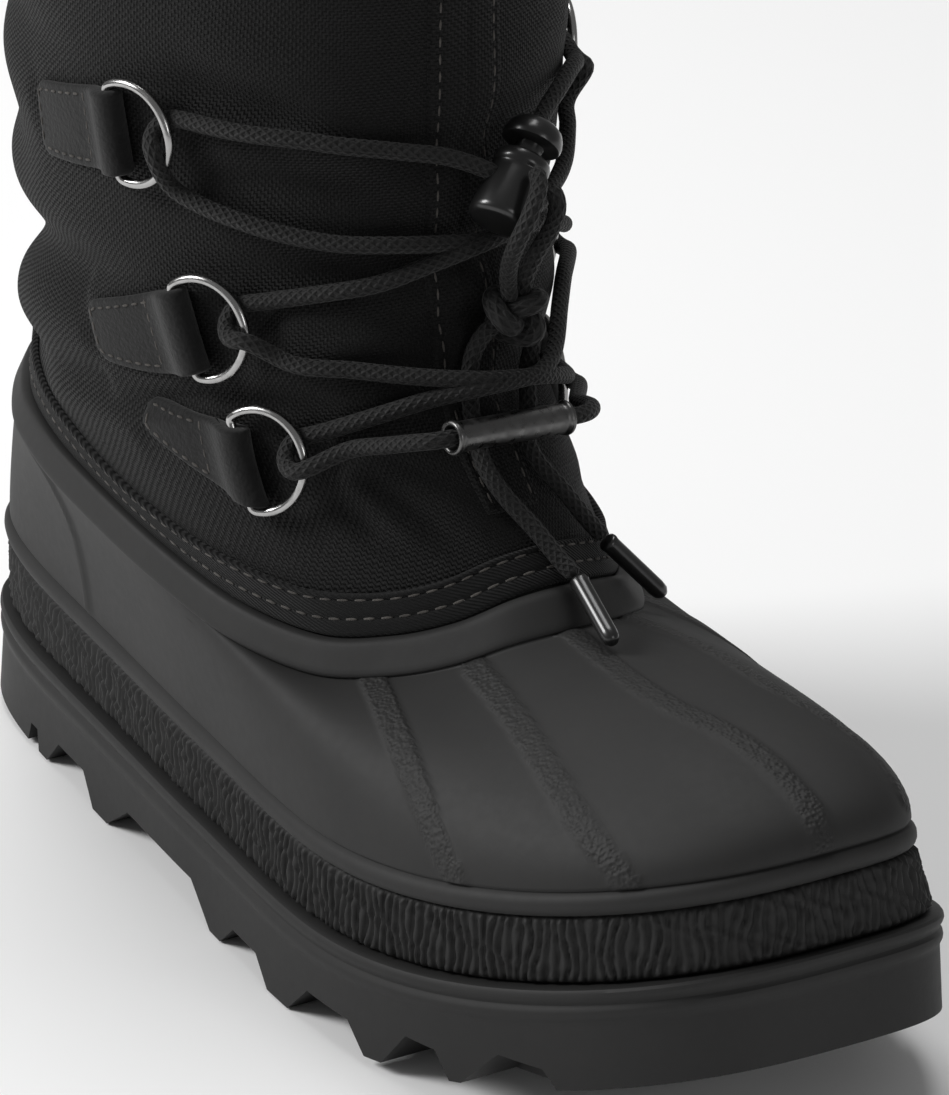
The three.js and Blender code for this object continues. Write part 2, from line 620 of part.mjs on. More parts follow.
/** A suede tab: a plate on the shaft that ends in a sleeve round the ring's bar. */
function tab(row, side) {
  const axes = fasteningAxes(row, side);
  const { turn, centre, round, climb, out, bar } = axes;
  const tilt = THREE.MathUtils.degToRad(row.tilt);
  const onShaft = (along, across, lift) => {
    const forward = along * Math.cos(tilt) - across * Math.sin(tilt);
    const up = along * Math.sin(tilt) + across * Math.cos(tilt);
    const spot = shaftFrame(turn - (side * forward) / round.length(), row.share + up / climb.length());
    return spot.centre.addScaledVector(spot.out, lift);
  };
  const columns = 5;
  const loops = [];
  for (let i = 0; i <= columns; i += 1) {
    const along = -2.1 - (row.length * i) / columns;
    const half = THREE.MathUtils.lerp(TAB.nearHeight, row.farHeight, i / columns) / 2;
    const rise = (row.farRise * i) / columns;
    const edge = [-half, 0, half].map((h) => h + rise);
    loops.push([
      ...edge.map((across) => onShaft(along, across, TAB.lift)),
      ...edge.reverse().map((across) => onShaft(along, across, TAB.lift + TAB.thickness)),
    ]);
  }
  const plate = outward(tubeSkin(loops));
  const profile = [
    [SLEEVE.bore, -SLEEVE.length / 2], [SLEEVE.outer, -SLEEVE.length / 2],
    [SLEEVE.outer, SLEEVE.length / 2], [SLEEVE.bore, SLEEVE.length / 2], [SLEEVE.bore, -SLEEVE.length / 2],
  ];
  const sleeve = turned(profile, 12);
  sleeve.applyQuaternion(new THREE.Quaternion().setFromUnitVectors(new THREE.Vector3(0, 1, 0), bar));
  sleeve.translate(...centre.clone().addScaledVector(out, SLEEVE.lift).toArray());
  return fromSolid(toSolid(plate).add(toSolid(sleeve)));
}

// ---------------------------------------------------------------- lace
/** A round cord along a route of points. */
function cord(route, radius = CORD_RADIUS, stepLength = 9) {
  const points = route.map((point) => new THREE.Vector3(...point));
  const path = new THREE.CatmullRomCurve3(points, false, 'centripetal');
  const section = new THREE.Shape();
  section.setFromPoints(Array.from({ length: 8 }, (_, k) => (
    new THREE.Vector2(Math.cos((k * Math.PI) / 4), Math.sin((k * Math.PI) / 4)).multiplyScalar(radius)
  )));
  const steps = Math.max(2, Math.round(path.getLength() / stepLength));
  return outward(new THREE.ExtrudeGeometry(section, { steps, extrudePath: path, bevelEnabled: false }));
}

/** Two crossing strands of the lace as one solid. */
function crossing(one, other) {
  return fromSolid(toSolid(cord(one)).add(toSolid(cord(other))));
}

/** A solid of revolution: profile rows are radius and height, on the Y axis. */
function turned(profile, segments) {
  const points = profile.map(([radius, height]) => new THREE.Vector2(radius, height));
  return new THREE.LatheGeometry(points, segments);
}

/** A turned piece set on the line from one point to another. */
function alongAxis(geometry, from, to) {
  const foot = new THREE.Vector3(...from);
  const direction = new THREE.Vector3(...to).sub(foot).normalize();
  geometry.applyQuaternion(new THREE.Quaternion().setFromUnitVectors(new THREE.Vector3(0, 1, 0), direction));
  geometry.translate(...from);
  return outward(geometry);
}

function laceTube() {
  const length = new THREE.Vector3(...TUBE.to).distanceTo(new THREE.Vector3(...TUBE.from));
  const { bore, radius } = TUBE;
  const profile = [[bore, 0], [radius, 0], [radius, length], [bore, length], [bore, 0]];
  return alongAxis(turned(profile, 16), TUBE.from, TUBE.to);
}

function laceThrough() {
  return cord([...LACE_BOTTOM_OUTER, TUBE.from, TUBE.to, ...LACE_BOTTOM_INNER], CORD_RADIUS, 6);
}

/** The knot below the lock, joined to the two drops that run down to it. */
function knot() {
  const ball = new THREE.SphereGeometry(1, 14, 9);
  ball.scale(...KNOT.radii);
  ball.translate(...KNOT.middle);
  return fromSolid(toSolid(ball).add(toSolid(cord(DROP_OUTER))).add(toSolid(cord(DROP_INNER))));
}

function aglet({ from, to }) {
  const length = new THREE.Vector3(...to).distanceTo(new THREE.Vector3(...from));
  const profile = [[0, 2 * GAP], [AGLET_RADIUS, 2 * GAP], [AGLET_RADIUS, length], [0, length]];
  return alongAxis(turned(profile, 12), from, to);
}

function lockBarrel() {
  const { bore, floor, height } = BARREL;
  const profile = [
    [0, 0], [6.4, 0], [7.2, 0.9], [6.7, 8], [6.0, 13.4], [6.4, 14.2], [6.4, 16.2], [5.8, height],
    [bore, height], [bore, floor], [0, floor],
  ];
  return alongAxis(turned(profile, 18), LOCK.foot, LOCK.head);
}

function lockButton() {
  const { stem, stemEnd, travel, clearance } = BUTTON;
  const brim = BARREL.height + travel + clearance;
  const profile = [
    [0, stemEnd], [stem, stemEnd], [stem, brim], [6.6, brim], [7.0, brim + 1.2], [6.3, brim + 3.8],
    [4.0, brim + 5.6], [0, brim + 6.3],
  ];
  return alongAxis(turned(profile, 18), LOCK.foot, LOCK.head);
}

// ---------------------------------------------------------------- materials
const rubber = new THREE.MeshStandardMaterial({ color: 0x3c3c3a, roughness: 0.6 });
const soleRubber = new THREE.MeshStandardMaterial({ color: 0x262626, roughness: 0.65 });
const nylon = new THREE.MeshStandardMaterial({ color: 0x0c0c0e, roughness: 0.9 });
const suede = new THREE.MeshStandardMaterial({ color: 0x121212, roughness: 0.95 });
const steel = new THREE.MeshStandardMaterial({ color: 0xb4b4b8, roughness: 0.2, metalness: 1 });
const gunmetal = new THREE.MeshStandardMaterial({ color: 0x58585a, roughness: 0.35, metalness: 1 });
const braid = new THREE.MeshStandardMaterial({ color: 0x0a0a0a, roughness: 0.8 });
const plastic = new THREE.MeshStandardMaterial({ color: 0x1c1c1c, roughness: 0.35 });

// ---------------------------------------------------------------- assembly
const boot = new THREE.Group();

function place(name, geometry, material) {
  const mesh = new THREE.Mesh(geometry, material);
  mesh.name = name;
  boot.add(mesh);
  return mesh;
}

const TURNS = evenTurns(AROUND);
place('outsole', outsole(TURNS), soleRubber);
place('insole', insole(TURNS), nylon);
place('shell', shell(TURNS), rubber);
place('shaft', shaft(TURNS), nylon);

for (const [sideName, side] of [['outer', -1], ['inner', 1]]) {
  for (const row of FASTENINGS) {
    place(`tab_${row.name}_${sideName}`, tab(row, side), suede);
    place(`ring_${row.name}_${sideName}`, ring(row, side), steel);
  }
}

place('lace_top_outer', cord(LACE_TOP_OUTER), braid);
place('lace_top_inner', cord(LACE_TOP_INNER), braid);
place('lace_upper_crossing', crossing(LACE_UPPER_FALL, LACE_UPPER_RISE), braid);
place('lace_lower_crossing', crossing(LACE_LOWER_FALL, LACE_LOWER_RISE), braid);
place('lace_through_tube', laceThrough(), braid);
place('lace_tube', laceTube(), gunmetal);
place('lock_barrel', lockBarrel(), plastic);
place('lock_button', lockButton(), plastic);
place('lace_knot', knot(), braid);
place('lace_end_outer', cord(END_OUTER), braid);
place('lace_end_inner', cord(END_INNER), braid);
place('aglet_outer', aglet(AGLET_OUTER), gunmetal);
place('aglet_inner', aglet(AGLET_INNER), gunmetal);

export default boot;
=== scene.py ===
"""Looks of a snow boot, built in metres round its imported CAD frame.

+X is to the toe, +Y to the inner side of this right boot, +Z up. Sizes below are millimetres. A place round
the foot is a turn: 0 at the toe, 90 degrees on the inner side, 180 at the heel, -90 on the outer side.
"""
import logging
import math
from dataclasses import dataclass, field
from enum import Enum
from typing import Callable, Optional, Sequence, Union

import bpy
import numpy as np
from mathutils import Matrix


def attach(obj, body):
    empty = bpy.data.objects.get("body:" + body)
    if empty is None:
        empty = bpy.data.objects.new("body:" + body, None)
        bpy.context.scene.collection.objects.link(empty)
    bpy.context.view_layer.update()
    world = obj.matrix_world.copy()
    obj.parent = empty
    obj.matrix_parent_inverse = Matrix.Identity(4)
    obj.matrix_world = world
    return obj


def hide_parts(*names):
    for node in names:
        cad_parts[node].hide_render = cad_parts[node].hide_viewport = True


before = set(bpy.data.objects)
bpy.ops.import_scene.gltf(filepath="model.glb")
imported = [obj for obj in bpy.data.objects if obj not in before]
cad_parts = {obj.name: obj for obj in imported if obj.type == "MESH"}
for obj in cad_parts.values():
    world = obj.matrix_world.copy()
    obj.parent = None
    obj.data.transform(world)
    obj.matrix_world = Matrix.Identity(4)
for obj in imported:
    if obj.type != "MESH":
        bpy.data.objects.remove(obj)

LOG = logging.getLogger("snow_boot")
MM = 0.001
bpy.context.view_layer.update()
Array = np.ndarray
Number = Union[float, Array]


class Side(Enum):
    """The two sides of the foot, by the sign of their turns."""

    OUTER = -1
    INNER = 1


# ------------------------------------------------------------------ numbers
def hermite(keys: Sequence[float], values: Array, at: Number) -> Array:
    """Read a smooth cubic through the rows of a table.

    Args:
        keys: Rising keys, one a row.
        values: One value a row, or one array of the shape of `at` a row.
        at: Where to read.

    Returns:
        The values there, in the shape of `at`.
    """
    keys = np.asarray(keys, float)
    rows = np.asarray(values, float)
    at = np.clip(np.asarray(at, float), keys[0], keys[-1])
    index = np.searchsorted(keys[1:-1], at, side="left")
    numbers = np.arange(len(keys))
    before, after = np.maximum(numbers - 1, 0), np.minimum(numbers + 1, len(keys) - 1)
    gap = (keys[after] - keys[before]).reshape(-1, *[1] * (rows.ndim - 1))
    slope = (rows[after] - rows[before]) / gap

    def pick(column: Array, place: Array) -> Array:
        """Read a column at row numbers."""
        if column.ndim == 1:
            return column[place]
        return np.take_along_axis(column, place[None], 0)[0]

    span = keys[index + 1] - keys[index]
    share = (at - keys[index]) / span
    rise = pick(rows, index + 1) - pick(rows, index)
    bend0 = pick(slope, index) * span - rise
    bend1 = rise - pick(slope, index + 1) * span
    return pick(rows, index) + share * rise + share * (1 - share) * (bend0 * (1 - share) + bend1 * share)


def smoothstep(low: float, high: float, value: Number) -> Array:
    """Rise smoothly from 0 at low to 1 at high."""
    share = np.clip((np.asarray(value, float) - low) / (high - low), 0, 1)
    return share * share * (3 - 2 * share)


def unit(vectors: Array) -> Array:
    """Scale vectors to length one."""
    return vectors / np.maximum(np.linalg.norm(vectors, axis=-1, keepdims=True), 1e-9)


def smooth_path(points: Sequence[Sequence[float]], step: float) -> Array:
    """Run a smooth curve through points and space it evenly.

    Args:
        points: Points in millimetres.
        step: Wanted spacing in millimetres.

    Returns:
        Points of the curve, [n, 3].
    """
    path = np.asarray(points, float)
    gaps = np.sqrt(np.linalg.norm(np.diff(path, axis=0), axis=1))
    keys = np.concatenate([[0], np.cumsum(gaps)])
    fine = np.linspace(0, keys[-1], 60 * len(path))
    dense = np.stack([hermite(keys, path[:, axis], fine) for axis in range(3)], 1)
    travel = np.concatenate([[0], np.cumsum(np.linalg.norm(np.diff(dense, axis=0), axis=1))])
    count = max(3, int(round(travel[-1] / step)) + 1)
    wanted = np.linspace(0, travel[-1], count)
    return np.stack([np.interp(wanted, travel, dense[:, axis]) for axis in range(3)], 1)


@dataclass
class Table:
    """Named columns of sizes, read by a smooth curve through their rows."""

    key: Sequence[float]
    columns: dict[str, Sequence[float]]

    def at(self, column: str, where: Number) -> Array:
        """Read a column."""
        return hermite(self.key, np.asarray(self.columns[column], float), where)


# ------------------------------------------------------------------ the boot's form
@dataclass
class BootForm:
    """The boot's own surfaces, as functions of the turn round the foot."""

    length: float = 315.0
    toe_squareness: float = 2.87
    heel_squareness: float = 3.6
    toe_swing: float = 13.0
    swing_start: float = -0.2
    sole_top: float = 24.5
    bead_height: float = 43.8
    rubber: float = 3.0
    gap: float = 0.3
    rim_band: float = 7.5
    widths: Table = field(default_factory=lambda: Table(
        [-1, -0.6, -0.1, 0.42, 1],
        {"outer": [39.8, 39.8, 49, 60.9, 60.9], "inner": [39.8, 39.8, 46, 55, 55]}))
    dome_shape: Table = field(default_factory=lambda: Table(
        [-1, -0.6, -0.2, 0.2, 0.6, 1],
        {"fullness": [1.5, 1.4, 1.4, 1.5, 1.9, 2.3],
         "flare": [2.2, 1.2, 1.0, 1.2, 2.6, 5.0],
         "tuck": [1.0, 4.5, 4.0, 1.5, 0.0, 0.0]}))
    rim: Table = field(default_factory=lambda: Table(
        [-198, -180, -162, -144, -126, -108, -90, -72, -56, -42, -28, -14, 0,
         14, 28, 42, 56, 72, 90, 108, 126, 144, 162, 180, 198],
        {"x": [-130.5, -138, -130.5, -111, -86, -58, -26, 2, 24, 38, 48, 54.8, 57.5,
               56.5, 51.5, 43, 28, 4, -26, -58, -86, -111, -130.5, -138, -130.5],
         "y": [24, 0, -24, -40, -48, -50.5, -50.5, -47.5, -39.5, -29, -18.5, -8, 2,
               11.5, 21.5, 30.5, 40, 47.5, 50.5, 50.5, 48, 40, 24, 0, -24],
         "z": [101.5, 104, 101.5, 97.5, 95, 91.2, 86.6, 82.8, 81.2, 84, 88.5, 94, 96,
               95.3, 92.5, 88.5, 85.5, 85, 87.5, 92, 95, 97.5, 101.5, 104, 101.5]}))
    shaft: Table = field(default_factory=lambda: Table(
        [0.2, 0.42, 0.72, 1.0],
        {"front": [30, 19, 17, 19], "back": [-138, -136, -134, -135],
         "half": [51, 55.5, 59.5, 60], "middle": [-1.5, 0, 1.5, 1.5],
         "front_z": [128, 163, 212, 262], "side_z": [115, 152, 208, 262],
         "back_z": [138, 168, 214, 262]}))

    def spring(self, x: Array) -> Array:
        """Height that the sole gains towards the toe tip and the heel tip."""
        toe = np.clip((x - 40.0) / 117.5, 0, 1.1)
        heel = np.clip((-90.0 - x) / 67.5, 0, 1.1)
        return 23.3 * toe ** 2 + 4.0 * heel ** 2

    def outline(self, turn: Array, out: Number) -> tuple[Array, Array]:
        """Plan position on the sole's outline, grown outwards by `out`."""
        u = np.cos(turn)
        power = np.where(u > 0, self.toe_squareness, self.heel_squareness)
        v = np.maximum(0, 1 - np.abs(u) ** power) ** (1 / power)
        inner = np.sin(turn) > 0
        half = np.where(inner, self.widths.at("inner", u), self.widths.at("outer", u)) + out
        swing = self.toe_swing * np.clip((u - self.swing_start) / (1 - self.swing_start), 0, 1) ** 2
        return (self.length / 2 + out) * u, np.where(inner, v, -v) * half + swing

    def sole_point(self, turn: Array, out: Number, height: Number) -> Array:
        """Point of the outline at a height above the tread; the inner toe corner leans in."""
        corner = np.maximum(np.cos(turn - 0.6), 0) ** 3
        share = np.clip((height - self.sole_top) / (self.bead_height - self.sole_top), 0, 1)
        lean = corner * (2.6 + (-3.0 - 2.6) * share)
        x, y = self.outline(turn, out + lean)
        return np.stack([x, y, height + self.spring(x)], -1)

    def even_turns(self, count: int) -> Array:
        """Turns round the foot with even steps along the outline, the same on both sides."""
        fine = np.linspace(0, np.pi, 1441)
        x, y = self.outline(fine, 0.0)
        travel = np.concatenate([[0], np.cumsum(np.hypot(np.diff(x), np.diff(y)))])
        half = np.interp(np.linspace(0, travel[-1], count // 2 + 1), travel, fine)
        return np.concatenate([half, 2 * np.pi - half[1:-1][::-1]])

    def rim_edge(self, turn: Array) -> Array:
        """The rim's outer edge."""
        degrees = np.degrees(np.arctan2(np.sin(turn), np.cos(turn)))
        return np.stack([self.rim.at(axis, degrees) for axis in "xyz"], -1)

    def rim_out(self, turn: Array) -> Array:
        """Level direction that points out of the rim."""
        along = self.rim_edge(turn + 0.03) - self.rim_edge(turn - 0.03)
        return unit(np.stack([along[..., 1], -along[..., 0], np.zeros_like(turn)], -1))

    def rim_foot(self, turn: Array) -> Array:
        """Foot of the rim's raised band."""
        flare = self.dome_shape.at("flare", np.cos(turn))[..., None]
        return self.rim_edge(turn) + self.rim_out(turn) * flare - np.array([0, 0, self.rim_band])

    def lip(self, turn: Array, out: float, up: float) -> Array:
        """A point on the rim band: out from it, and up from its foot to its edge."""
        foot, edge = self.rim_foot(turn), self.rim_edge(turn)
        return foot + (edge - foot) * up + self.rim_out(turn) * out

    def dome(self, turn: Array, climb: Number) -> Array:
        """The shell's outer face, from its bead, climb 0, to the foot of the rim band, climb 1."""
        low, high = self.sole_point(turn, -1.3, 47.0), self.rim_foot(turn)
        fullness = self.dome_shape.at("fullness", np.cos(turn))
        angle = np.broadcast_to(climb, np.shape(turn)) * np.pi / 2
        inward = (1 - np.cos(angle) ** (2 / fullness))[..., None]
        upward = np.sin(angle) ** (2 / fullness)
        point = low + (high - low) * inward
        point[..., 2] = low[..., 2] + (high[..., 2] - low[..., 2]) * upward
        return point

    def shaft_face(self, turn: Array, share: Number) -> Array:
        """The shaft's outer face before its folds, from the rim, share 0, to the collar, share 1."""
        turn, share = np.broadcast_arrays(np.asarray(turn, float), np.asarray(share, float))
        start = self.rim_edge(turn) - self.rim_out(turn) * (self.rubber + self.gap)
        fore, rear = np.maximum(np.cos(turn), 0) ** 2, np.maximum(-np.cos(turn), 0) ** 2
        shape = self.shaft.columns
        rows = [start]
        for k in range(len(self.shaft.key)):
            front, back, side_z = shape["front"][k], shape["back"][k], shape["side_z"][k]
            rows.append(np.stack([
                (front + back) / 2 + (front - back) / 2 * np.cos(turn),
                shape["middle"][k] + shape["half"][k] * np.sin(turn),
                side_z + (shape["front_z"][k] - side_z) * fore + (shape["back_z"][k] - side_z) * rear], -1))
        stack = np.stack(rows)
        keys = [0.0, *self.shaft.key]
        return np.stack([hermite(keys, stack[..., axis], share) for axis in range(3)], -1)

    def inset(self, face: Callable[[Array, Array], Array], turn: Array, along: float, depth: float) -> Array:
        """A face moved inwards by a depth, along its own normal."""
        low = max(along - 0.01, 0.02)
        high = min(low + 0.02, 1.0)
        around = face(turn + 0.01, along) - face(turn - 0.01, along)
        return face(turn, along) - unit(np.cross(around, face(turn, high) - face(turn, low))) * depth


FORM = BootForm()


# ------------------------------------------------------------------ meshes
def alone() -> None:
    """Leave every object unselected."""
    bpy.ops.object.select_all(action="DESELECT")


def only(piece: bpy.types.Object) -> None:
    """Select one object and make it the active one."""
    alone()
    piece.select_set(True)
    bpy.context.view_layer.objects.active = piece


def merge(piece: bpy.types.Object) -> None:
    """Merge doubled points, and turn all faces outwards."""
    only(piece)
    bpy.ops.object.mode_set(mode="EDIT")
    bpy.ops.mesh.select_all(action="SELECT")
    bpy.ops.mesh.remove_doubles(threshold=2e-6)
    bpy.ops.mesh.normals_make_consistent(inside=False)
    bpy.ops.object.mode_set(mode="OBJECT")


def wrap(name: str, rows: Array, girth: float = 1.0, heights: Optional[Array] = None,
         round_closed: bool = True, rows_closed: bool = False,
         masks: Optional[dict[str, Array]] = None) -> bpy.types.Object:
    """Wrap a grid on rows of points.

    Args:
        name: Name of the new object.
        rows: Points in millimetres, [rows, points in a row, 3].
        girth: UV width of a row, in millimetres.
        heights: UV height of each row, in millimetres.
        round_closed: Whether a row's last point joins its first.
        rows_closed: Whether the last row joins the first.
        masks: Point attributes by name, [rows, points in a row].

    Returns:
        The new object, at the origin, with its place in its mesh.
    """
    count, around = rows.shape[:2]
    across = around if round_closed else around - 1
    along = count if rows_closed else count - 1
    alone()
    bpy.ops.mesh.primitive_grid_add(x_subdivisions=across, y_subdivisions=along, size=2, location=(0, 0, 0))
    piece = bpy.context.object
    piece.name = name
    mesh = piece.data
    mesh.name = name
    spots = np.empty(len(mesh.vertices) * 3, np.float32)
    mesh.vertices.foreach_get("co", spots)
    spots = spots.reshape(-1, 3)
    i = np.rint((spots[:, 0] + 1) / 2 * across).astype(int)
    j = np.rint((spots[:, 1] + 1) / 2 * along).astype(int)
    placed = rows[j % count, i % around] * MM
    mesh.vertices.foreach_set("co", placed.astype(np.float32).ravel())
    levels = np.arange(along + 1, dtype=float)
    if heights is not None:
        levels = np.append(heights, heights[-1])[:along + 1]
    corner = np.empty(len(mesh.loops), np.int32)
    mesh.loops.foreach_get("vertex_index", corner)
    uv = np.stack([i[corner] / across * girth, levels[j[corner]]], 1) * MM
    mesh.uv_layers[0].data.foreach_set("uv", uv.astype(np.float32).ravel())
    for label, values in (masks or {}).items():
        layer = mesh.attributes.new(label, "FLOAT", "POINT")
        layer.data.foreach_set("value", values[j % count, i % around].astype(np.float32))
    mesh.update()
    merge(piece)
    mesh.shade_smooth()
    return piece


def tube_rows(path: Array, radius: Union[float, Array], sides: int, closed: bool) -> Array:
    """Rings of points round a path, without twist.

    Args:
        path: Centreline, [n, 3].
        radius: One radius, or one for each point.
        sides: Points in a ring.
        closed: Whether the path's end joins its start.

    Returns:
        Points, [n, sides, 3].
    """
    if closed:
        ahead, behind = np.roll(path, -1, 0), np.roll(path, 1, 0)
    else:
        ahead, behind = np.vstack([path[1:], path[-1:]]), np.vstack([path[:1], path[:-1]])
    tangent = unit(ahead - behind)
    side = np.zeros_like(path)
    start = np.cross(tangent[0], [0.1, 0.2, 1.0])
    side[0] = unit(start)
    for k in range(1, len(path)):
        side[k] = unit(side[k - 1] - tangent[k] * (side[k - 1] @ tangent[k]))
    over = np.cross(tangent, side)
    angles = np.arange(sides) * 2 * np.pi / sides
    reach = np.broadcast_to(radius, (len(path),))[:, None, None]
    rings = side[:, None] * np.cos(angles)[None, :, None] + over[:, None] * np.sin(angles)[None, :, None]
    return path[:, None] + rings * reach


def tube(name: str, path: Array, radius: float, sides: int = 16, closed: bool = False) -> bpy.types.Object:
    """A round cord or wire along a path, with rounded ends where it is open."""
    size = np.full(len(path), radius)
    if not closed:
        step = np.linalg.norm(path[1] - path[0])
        for k in range(max(2, int(radius / step) + 1)):
            left = max(0.0, 1 - (k * step / radius))
            size[k] = size[-1 - k] = radius * math.sqrt(max(0.0, 1 - left ** 2))
    travel = np.concatenate([[0], np.cumsum(np.linalg.norm(np.diff(path, axis=0), axis=1))])
    piece = wrap(name, tube_rows(path, np.maximum(size, 0.001), sides, closed),
                 girth=1000.0, heights=travel, rows_closed=closed)
    return piece


def turned(name: str, profile: Sequence[tuple[float, float]], foot: Sequence[float], head: Sequence[float],
           segments: int = 64) -> bpy.types.Object:
    """A turned piece on the line from foot to head.

    Args:
        name: Name of the new object.
        profile: Radius and height rows, closed by the axis or by their own loop.
        foot: Where height 0 is.
        head: A point further up the axis.
        segments: Facets round the piece.

    Returns:
        The new object.
    """
    start = np.asarray(foot, float)
    axis = unit(np.asarray(head, float) - start)
    side = unit(np.cross(axis, [0.0, 0.0, 1.0]))
    over = np.cross(axis, side)
    angles = np.arange(segments) * 2 * np.pi / segments
    ring = side * np.cos(angles)[:, None] + over * np.sin(angles)[:, None]
    rows = np.stack([start + axis * height + ring * max(radius, 0.0) for radius, height in profile])
    travel = np.cumsum([0.0] + [math.dist(a, b) for a, b in zip(profile, profile[1:])])
    closed = profile[0][0] > 0.01 and profile[-1] != profile[0]
    return wrap(name, rows, girth=20.0, heights=travel, rows_closed=closed)


def joined_copies(name: str, model: bpy.types.Object, places: Sequence[tuple[Array, Array, Array]]
                  ) -> bpy.types.Object:
    """Copy a small model to many places, as one mesh.

    Args:
        name: Name of the new object.
        model: The model, at the origin, in metres; it is removed afterwards.
        places: Middle, length direction and outward direction for each copy, in millimetres.

    Returns:
        The joined object.
    """
    shape = np.array([v.co for v in model.data.vertices], float)
    faces = [list(p.vertices) for p in model.data.polygons]
    points, polygons = [], []
    for middle, along, out in places:
        forward = unit(np.asarray(along, float))
        up = unit(np.asarray(out, float) - forward * (np.asarray(out, float) @ forward))
        turn = np.stack([forward, np.cross(up, forward), up], 0)
        polygons += [[k + len(points) * len(shape) for k in face] for face in faces]
        points.append(shape @ turn + np.asarray(middle) * MM)
    mesh = bpy.data.meshes.new(name)
    mesh.from_pydata(np.concatenate(points).tolist(), [], polygons)
    mesh.update()
    mesh.shade_smooth()
    piece = bpy.data.objects.new(name, mesh)
    bpy.context.scene.collection.objects.link(piece)
    bpy.data.objects.remove(model)
    return piece


def stitch_model(length: float, radius: float) -> bpy.types.Object:
    """One stitch: a bead of thread, long in X."""
    alone()
    bpy.ops.mesh.primitive_uv_sphere_add(segments=6, ring_count=4, radius=radius * MM, location=(0, 0, 0))
    model = bpy.context.object
    bpy.ops.object.mode_set(mode="EDIT")
    bpy.ops.mesh.select_all(action="SELECT")
    bpy.ops.transform.resize(value=(length / (2 * radius), 1.0, 0.8))
    bpy.ops.object.mode_set(mode="OBJECT")
    return model


def stitch_places(path: Array, out: Array, pitch: float) -> list[tuple[Array, Array, Array]]:
    """Places for stitches along a line, evenly spaced."""
    travel = np.concatenate([[0], np.cumsum(np.linalg.norm(np.diff(path, axis=0), axis=1))])
    found = []
    for start in np.arange(pitch / 2, travel[-1], pitch):
        ends = [np.array([np.interp(s, travel, path[:, axis]) for axis in range(3)])
                for s in (start - 0.6, start, start + 0.6)]
        lift = np.array([np.interp(start, travel, out[:, axis]) for axis in range(3)])
        found.append((ends[1], ends[2] - ends[0], lift))
    return found


def settle(piece: bpy.types.Object, slot: str, finish: bpy.types.Material, *nodes: str,
           body: str = "boot") -> bpy.types.Object:
    """Give a finished piece its material and body, and hide the CAD nodes it stands for."""
    piece.data.materials.clear()
    piece.data.materials.append(finish)
    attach(piece, body)
    if nodes:
        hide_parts(*nodes)
    LOG.info("%s: %d faces", piece.name, len(piece.data.polygons))
    return piece


